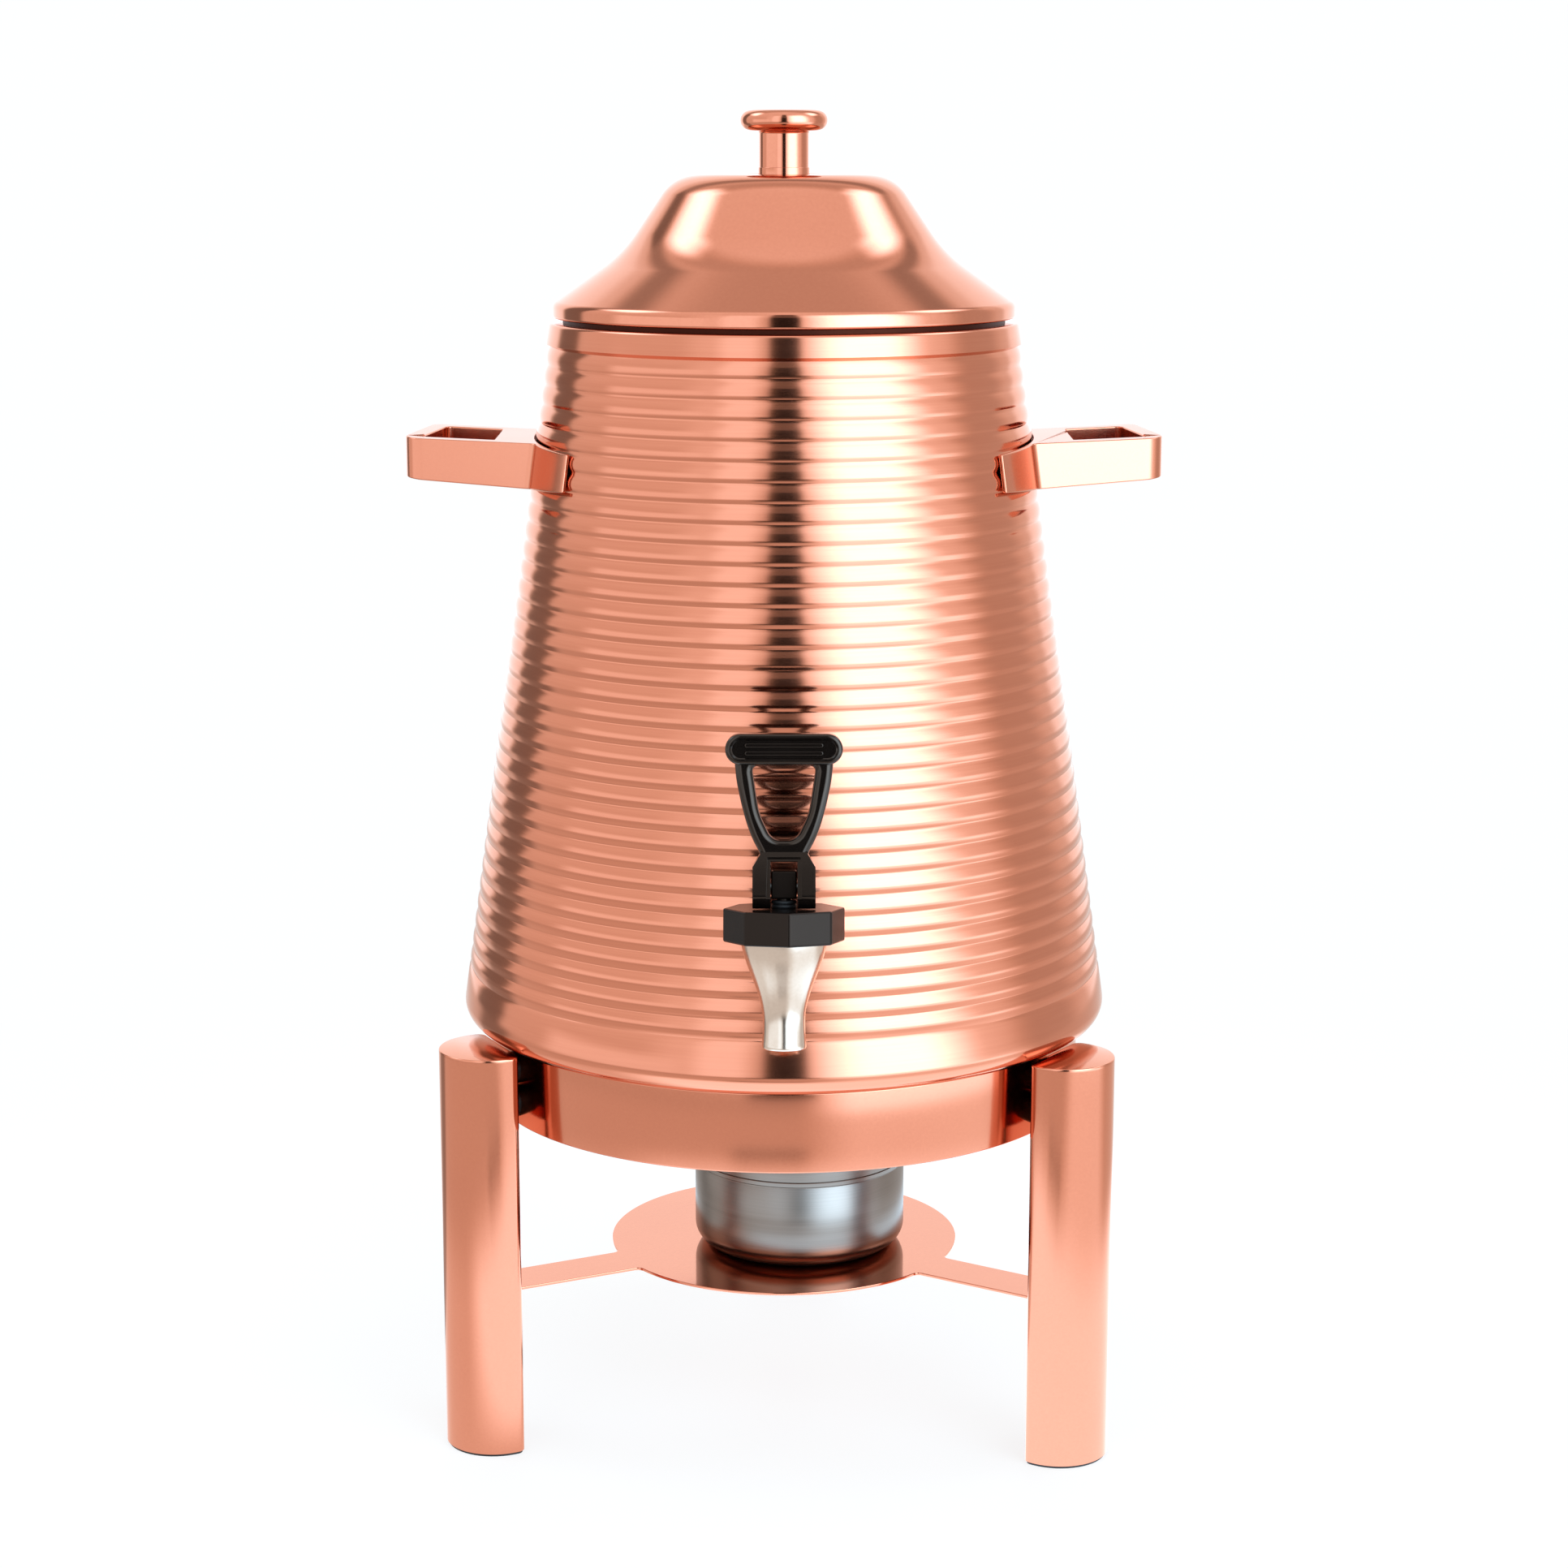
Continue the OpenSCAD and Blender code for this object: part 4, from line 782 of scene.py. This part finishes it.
side = smoothLine(lever["side"], 4)
arms = plate("arms", side + mirrored(side), lever["thickness"], -lever["thickness"] / 2)
radii = lever["paneRadii"]
pane = roundedLine(lever["pane"] + mirrored(lever["pane"]), radii + radii[::-1], 12)
cut(arms, plate("pane", pane, 2 * lever["thickness"], -lever["thickness"]))
bevel(arms, lever["armBevel"], 5, angle=40)

gripRadius = lever["gripHeight"] / 2
gripMiddle = lever["top"] - gripRadius
gripReach = lever["gripWidth"] / 2 - gripRadius
grip = plate("grip", capsule(gripMiddle, gripReach, gripRadius), lever["gripThickness"],
             -lever["gripThickness"] / 2)
bevel(grip, lever["gripBevel"], 4)
pick(grip)
pickFaces(grip, lambda face: face.normal.z > 0.99 and face.calc_area() > lever["gripFace"])
bpy.ops.mesh.inset(thickness=lever["grooveLand"] * mm)
for width, depth in lever["grooveSteps"]:
    bpy.ops.mesh.inset(thickness=width * mm, depth=-depth * mm)
bpy.ops.object.mode_set(mode="OBJECT")
ridges = []
for offset in (-lever["ridgeOffset"], lever["ridgeOffset"]):
    line = capsule(gripMiddle + offset, gripReach - lever["ridgeInset"], lever["ridgeRadius"], 8)
    ridge = plate("ridge", line, lever["ridgeHeight"], lever["ridgeLow"])
    bevel(ridge, lever["ridgeBevel"], 3)
    ridges.append(ridge)
arms = joined(arms, grip, *ridges)
seat(arms, facingFront)

shoulderHalf = lever["forkWidth"] / 2
waistHalf, waistZ = lever["waist"]
toeY, toeZ = lever["toe"]
front, frontTop = toeY - lever["toeRadius"], waistZ + lever["frontLift"]
half = lever["thickness"] / 2
outline = [(half, frontTop), (-half, frontTop), (front, toeZ)]
outline += arcPoints(lever["toe"], lever["toeRadius"], 180, 270, 10)[1:]
outline += arcPoints((0, 0), lever["boss"], 270, 360, 12)
fork = plate("fork", outline, lever["forkWidth"], -shoulderHalf)
seat(fork, facingSide)
side = [(shoulderHalf, cutter["maskLow"]), (shoulderHalf, lever["forkShoulder"]), (waistHalf, waistZ),
        (waistHalf, frontTop + cutter["maskOver"])]
mask = plate("mask", side + mirrored(side), 2 * cutter["maskReach"], -cutter["maskReach"])
seat(mask, facingFront)
cut(fork, mask, "INTERSECT")
slant = atan2(frontTop - toeZ, -half - front)
recess = plate("recess", lever["recess"], lever["recessHeight"], lever["recessLow"])
seat(recess, Matrix.Translation((0, front * mm, toeZ * mm)) @ Matrix.Rotation(slant, 4, "X"))
cut(fork, recess)
slotHalf, reach = lever["slot"] / 2, cutter["slotReach"]
cut(fork, plate("slot", [(-slotHalf, -reach), (slotHalf, -reach), (slotHalf, reach), (-slotHalf, reach)],
                reach + lever["slotTop"], -reach))
holeRadius, reach = lever["pinHole"], cutter["holeReach"]
hole = turnPiece("hole", [(0, -reach), (holeRadius, -reach), (holeRadius, reach), (0, reach)], 32)
seat(hole, Matrix.Rotation(pi / 2, 4, "Y"))
cut(fork, hole)
bevel(fork, lever["forkBevel"], 3, clamp=True)
tapLever = joined(arms, fork)
tapLever.name = "tapLever"
seat(tapLever, pinPlace)
finish(tapLever, "leverBlack", "lever", "black_gloss", "tap_lever", angle=40, flat=True)
print("stage: lever")


# ---- the burner

burner = {"x": 7, "front": 4, "radius": 47, "low": 72, "cupTop": 110.2, "corner": 9, "wall": 0.8,
          "coverTop": 124.2, "flame": 20, "plate": 1.2, "edge": 1.2, "line": 0.35, "rim": (1, 0.5),
          "coverLines": (0.4, 2.0, 2.3, 2.6), "ringDrop": 6, "ringOut": 46, "ringIn": 45, "step": 1.5}
burnerPlace = urnPlace @ Matrix.Translation((burner["x"] * mm, -burner["front"] * mm, 0))
thin = burner["radius"] - burner["line"]
profile = [(0, burner["low"])]
profile += arcPoints((burner["radius"] - burner["corner"], burner["low"] + burner["corner"]),
                     burner["corner"], -90, 0, 16)
rimLow, rimHigh = (burner["cupTop"] - drop for drop in burner["rim"])
profile += [(burner["radius"], rimLow), (thin, rimHigh), (thin, burner["cupTop"])]
inner = [(0, burner["low"] + burner["wall"])]
inner += arcPoints((burner["radius"] - burner["corner"], burner["low"] + burner["corner"]),
                   burner["corner"] - burner["wall"], -90, 0, 12)
inner += [(burner["radius"] - burner["wall"], burner["cupTop"])]
burnerCup = turnPiece("burnerCup", profile + inner[::-1], 160)
seat(burnerCup, burnerPlace)
finish(burnerCup, "burnerSteel", "burner", "brushed_steel", "burner_cup")

insideRadius = burner["radius"] - burner["wall"]
edgeLow, grooveLow, grooveMiddle, grooveHigh = (burner["cupTop"] + rise for rise in burner["coverLines"])
ringEnd = burner["cupTop"] - burner["ringDrop"]
profile = [(burner["ringIn"], ringEnd), (burner["ringOut"], ringEnd), (burner["ringOut"], burner["cupTop"]),
           (thin, burner["cupTop"]), (burner["radius"], edgeLow), (burner["radius"], grooveLow),
           (thin, grooveMiddle), (burner["radius"], grooveHigh)]
profile += arcPoints((burner["radius"] - burner["edge"], burner["coverTop"] - burner["edge"]),
                     burner["edge"], 0, 90, 6)
profile += [(burner["flame"], burner["coverTop"]), (burner["flame"], burner["coverTop"] - burner["plate"]),
            (insideRadius, burner["coverTop"] - burner["plate"]),
            (insideRadius, burner["cupTop"] + burner["step"]),
            (burner["ringIn"], burner["cupTop"] + burner["step"])]
burnerCover = turnPiece("burnerCover", profile + profile[:1], 160)
seat(burnerCover, burnerPlace)
finish(burnerCover, "burnerSteel", "cover", "brushed_steel", "burner_cover")
print("stage: burner")


# ---- finishes of the solids that stay

keptLooks = {
    "rubber": ["foot_pads"],
    # these plain steel parts are painted near black as the shade in the gaps between legs and ring
    "steelPaintedShade": ["leg_spacers", "leg_nut_plates", "leg_screws"],
    "plainSteel": ["tap_washer", "tap_nut", "tap_spring", "lever_pin", "knob_washer", "knob_screw",
                   "damper_rivet"],
    "standCopper": ["urn_foot"],
    # the lid's skirt: dull copper, painted darker as the shade in the gap under the lid's rim
    "dullCopperAndShade": ["lid_skirt"],
    "silicone": ["tap_gasket_outer", "tap_gasket_inner", "tap_seal", "seat_cup"],
    "burnerSteel": ["burner_damper"],
    "leverBlack": ["damper_knob"],
}
for look, nodes in keptLooks.items():
    for node in nodes:
        for spot in cadNodes[node].material_slots:
            spot.material = looks[look]
print("stage: kept solids")


# ---- floor and light

def step(tree, value, edge, softness, up):
    node = addNode(tree, "ShaderNodeMapRange", interpolation_type="SMOOTHSTEP")
    tree.links.new(value, node.inputs["Value"])
    ends = (0, 1) if up else (1, 0)
    for label, amount in zip(("From Min", "From Max", "To Min", "To Max"),
                             (edge - softness, edge + softness) + ends):
        node.inputs[label].default_value = amount
    return node.outputs["Result"]


def blendLevel(tree, low, high, mask):
    return sums(tree, "ADD", sums(tree, "MULTIPLY", low, sums(tree, "SUBTRACT", 1.0, mask)),
                sums(tree, "MULTIPLY", high, mask))


# panels round the object, as (azimuths, elevations, softness, level); 0 is toward the camera, + to the right
plainLevel, plainSlope = 1.02, 0.3
panels = [
    ((10, 84), (-30, 48), 12, 1.5),
    ((18, 62), (-30, 46), 14, 4.8),
    ((-46, -14), (-30, 46), 8, 1.35),
    ((-31, -12), (-30, 46), 5, 1.8),
    ((-90, -36), (-8, 8), 5, 1.5),
    ((-7, 8), (-30, 60), 1.5, 0.2),
    ((-6, 7), (-14, 24), 1.5, 0.03),
    ((-138, -117), (-30, 34), 3, 0.3),
    ((92, 124), (-30, 34), 8, 0.75),
    ((92, 121), (36, 54), 9, 4.6),
    ((-121, -92), (36, 54), 9, 4.6),
]
# rings round the straight way back, as (angles from it, lowest elevation, softness, level)
arches = [
    ((-10, 42), -40, 4, 1.5),
    ((64, 84), 40, 8, 0.82),
    ((50, 61), 30, 4, 0.5),
]
archSoftness = 6
panelGroup, given, out = startGroup(
    "studioPanels", [("Turn", "NodeSocketFloat", 0), ("Rise", "NodeSocketFloat", 0)], ["Level"])
turn = sums(panelGroup, "DEGREES", given["Turn"])
rise = sums(panelGroup, "DEGREES", given["Rise"])
backward = sums(panelGroup, "MULTIPLY", sums(panelGroup, "COSINE", given["Rise"]),
                sums(panelGroup, "COSINE", given["Turn"]))
fromBack = sums(panelGroup, "ARCCOSINE", sums(panelGroup, "MULTIPLY", backward, -0.9999))
fromBack = sums(panelGroup, "DEGREES", fromBack)
level = sums(panelGroup, "MULTIPLY_ADD", sums(panelGroup, "SINE", given["Rise"]), plainSlope, plainLevel)
for (inner, outer), low, softness, amount in arches:
    mask = sums(panelGroup, "MULTIPLY", step(panelGroup, fromBack, inner, softness, True),
                step(panelGroup, fromBack, outer, softness, False))
    level = blendLevel(panelGroup, level, amount,
                       sums(panelGroup, "MULTIPLY", mask, step(panelGroup, rise, low, archSoftness, True)))
for (left, right), (low, high), softness, amount in panels:
    mask = step(panelGroup, rise, low, softness, True)
    for value, edge, up in ((rise, high, False), (turn, left, True), (turn, right, False)):
        mask = sums(panelGroup, "MULTIPLY", mask, step(panelGroup, value, edge, softness, up))
    level = blendLevel(panelGroup, level, amount, mask)
panelGroup.links.new(level, out["Level"])


# bright light is a little cooler than plain light
def coolWhite(tree, level):
    share = addNode(tree, "ShaderNodeMapRange")
    tree.links.new(level, share.inputs["Value"])
    share.inputs["From Min"].default_value = 0.95
    share.inputs["From Max"].default_value = 2.4
    colour = addNode(tree, "ShaderNodeMix", data_type="RGBA")
    tree.links.new(share.outputs["Result"], colour.inputs[0])
    colour.inputs[6].default_value = (1, 1, 1, 1)
    colour.inputs[7].default_value = (0.82, 1.15, 1.46, 1)
    return colour.outputs[2]


def panelLevel(tree, vector, rise=None):
    way = addNode(tree, "ShaderNodeSeparateXYZ", Vector=vector)
    group = tree.nodes.new("ShaderNodeGroup")
    group.node_tree = panelGroup
    tree.links.new(sums(tree, "ARCTAN2", way.outputs["X"], sums(tree, "MULTIPLY", way.outputs["Y"], -1)),
                   group.inputs["Turn"])
    if rise is None:
        tree.links.new(sums(tree, "ARCSINE", way.outputs["Z"]), group.inputs["Rise"])
    else:
        group.inputs["Rise"].default_value = rise
    return group.outputs["Level"]


# the floor is pale and keeps the object's shadow; what mirrors it sees a table with zones of its own level
# near by, and the panels far away
zoneEnds = {"near": (0.4, 0.09), "middle": (0.86, 0.14), "gap": (1.25, 0.1), "far": (1.9, 0.6),
            "tapShade": (0.5, 0.03), "objectShade": (0.5, 0.3)}          # radius in metres and softness
zoneLevels = {"near": (2.1, 1.2, 0.5), "middle": (0.92, 1.5, 0.42), "far": (0.84, 2.6, 0.36)}
deselect()
bpy.ops.mesh.primitive_plane_add(size=60)
floor = bpy.context.object
floor.name = "floor"
floorLook = bpy.data.materials.new("paleFloor")
floorLook.use_nodes = True
tree = floorLook.node_tree
shader = tree.nodes["Principled BSDF"]
shader.inputs["Base Color"].default_value = linear(240, 233, 223)
shader.inputs["Roughness"].default_value = 0.6
coords = addNode(tree, "ShaderNodeTexCoord")
away = addNode(tree, "ShaderNodeVectorMath", operation="LENGTH")
tree.links.new(coords.outputs["Object"], away.inputs[0])
away = away.outputs["Value"]
path = addNode(tree, "ShaderNodeLightPath")
mirroring = sums(tree, "MAXIMUM", path.outputs["Is Glossy Ray"], path.outputs["Is Transmission Ray"])
spot = addNode(tree, "ShaderNodeSeparateXYZ", Vector=coords.outputs["Object"])
azimuth = sums(tree, "ARCTAN2", spot.outputs["X"], sums(tree, "MULTIPLY", spot.outputs["Y"], -1))
azimuth = sums(tree, "DEGREES", azimuth)


def sector(left, right, softness):
    return sums(tree, "MULTIPLY", step(tree, azimuth, left, softness, True),
                step(tree, azimuth, right, softness, False))


def beyond(zone, up=True):
    return step(tree, away, *zoneEnds[zone], up)


def zoneLevel(zone, side):
    plain, beside, strip = zoneLevels[zone]
    return blendLevel(tree, blendLevel(tree, plain, beside, side), strip, leftStrip)


rightSide = sector(16, 86, 12)
leftStrip = sector(-131, -109, 4)
near = zoneLevel("near", sector(-150, -50, 14))
tapShade = sums(tree, "MULTIPLY", sector(-18, 8, 4), beyond("tapShade", False))
middle = blendLevel(tree, zoneLevel("middle", rightSide), 0.5, tapShade)
mirrorLevel = blendLevel(tree, near, middle, beyond("near"))
mirrorLevel = blendLevel(tree, mirrorLevel, zoneLevel("far", rightSide), beyond("middle"))
darkGap = sums(tree, "MULTIPLY", sector(-13, 12, 3), beyond("gap"))
mirrorLevel = blendLevel(tree, mirrorLevel, 0.05, darkGap)
mirrorLevel = blendLevel(tree, mirrorLevel, panelLevel(tree, coords.outputs["Object"], 0.05), beyond("far"))
floorLevel = blendLevel(tree, 1.0, mirrorLevel, mirroring)
white = addNode(tree, "ShaderNodeEmission", Color=coolWhite(tree, floorLevel), Strength=floorLevel)
cameraPart = blendLevel(tree, 0.8, 1.0, beyond("objectShade"))
whiteShare = sums(tree, "MULTIPLY", path.outputs["Is Camera Ray"], cameraPart)
blend = addNode(tree, "ShaderNodeMixShader")
tree.links.new(sums(tree, "MAXIMUM", mirroring, whiteShare), blend.inputs[0])
tree.links.new(shader.outputs[0], blend.inputs[1])
tree.links.new(white.outputs[0], blend.inputs[2])
tree.links.new(blend.outputs[0], tree.nodes["Material Output"].inputs["Surface"])
floor.data.materials.append(floorLook)

world = bpy.data.worlds.new("studio")
bpy.context.scene.world = world
world.use_nodes = True
tree = world.node_tree
tree.nodes.clear()
coords = addNode(tree, "ShaderNodeTexCoord")
path = addNode(tree, "ShaderNodeLightPath")
strength = panelLevel(tree, coords.outputs["Generated"])
strength = blendLevel(tree, strength, 1.0, path.outputs["Is Camera Ray"])
background = addNode(tree, "ShaderNodeBackground", Color=coolWhite(tree, strength), Strength=strength)
tree.links.new(background.outputs[0], addNode(tree, "ShaderNodeOutputWorld").inputs["Surface"])
bpy.context.scene.view_settings.view_transform = "Standard"
print("stage: floor and light")
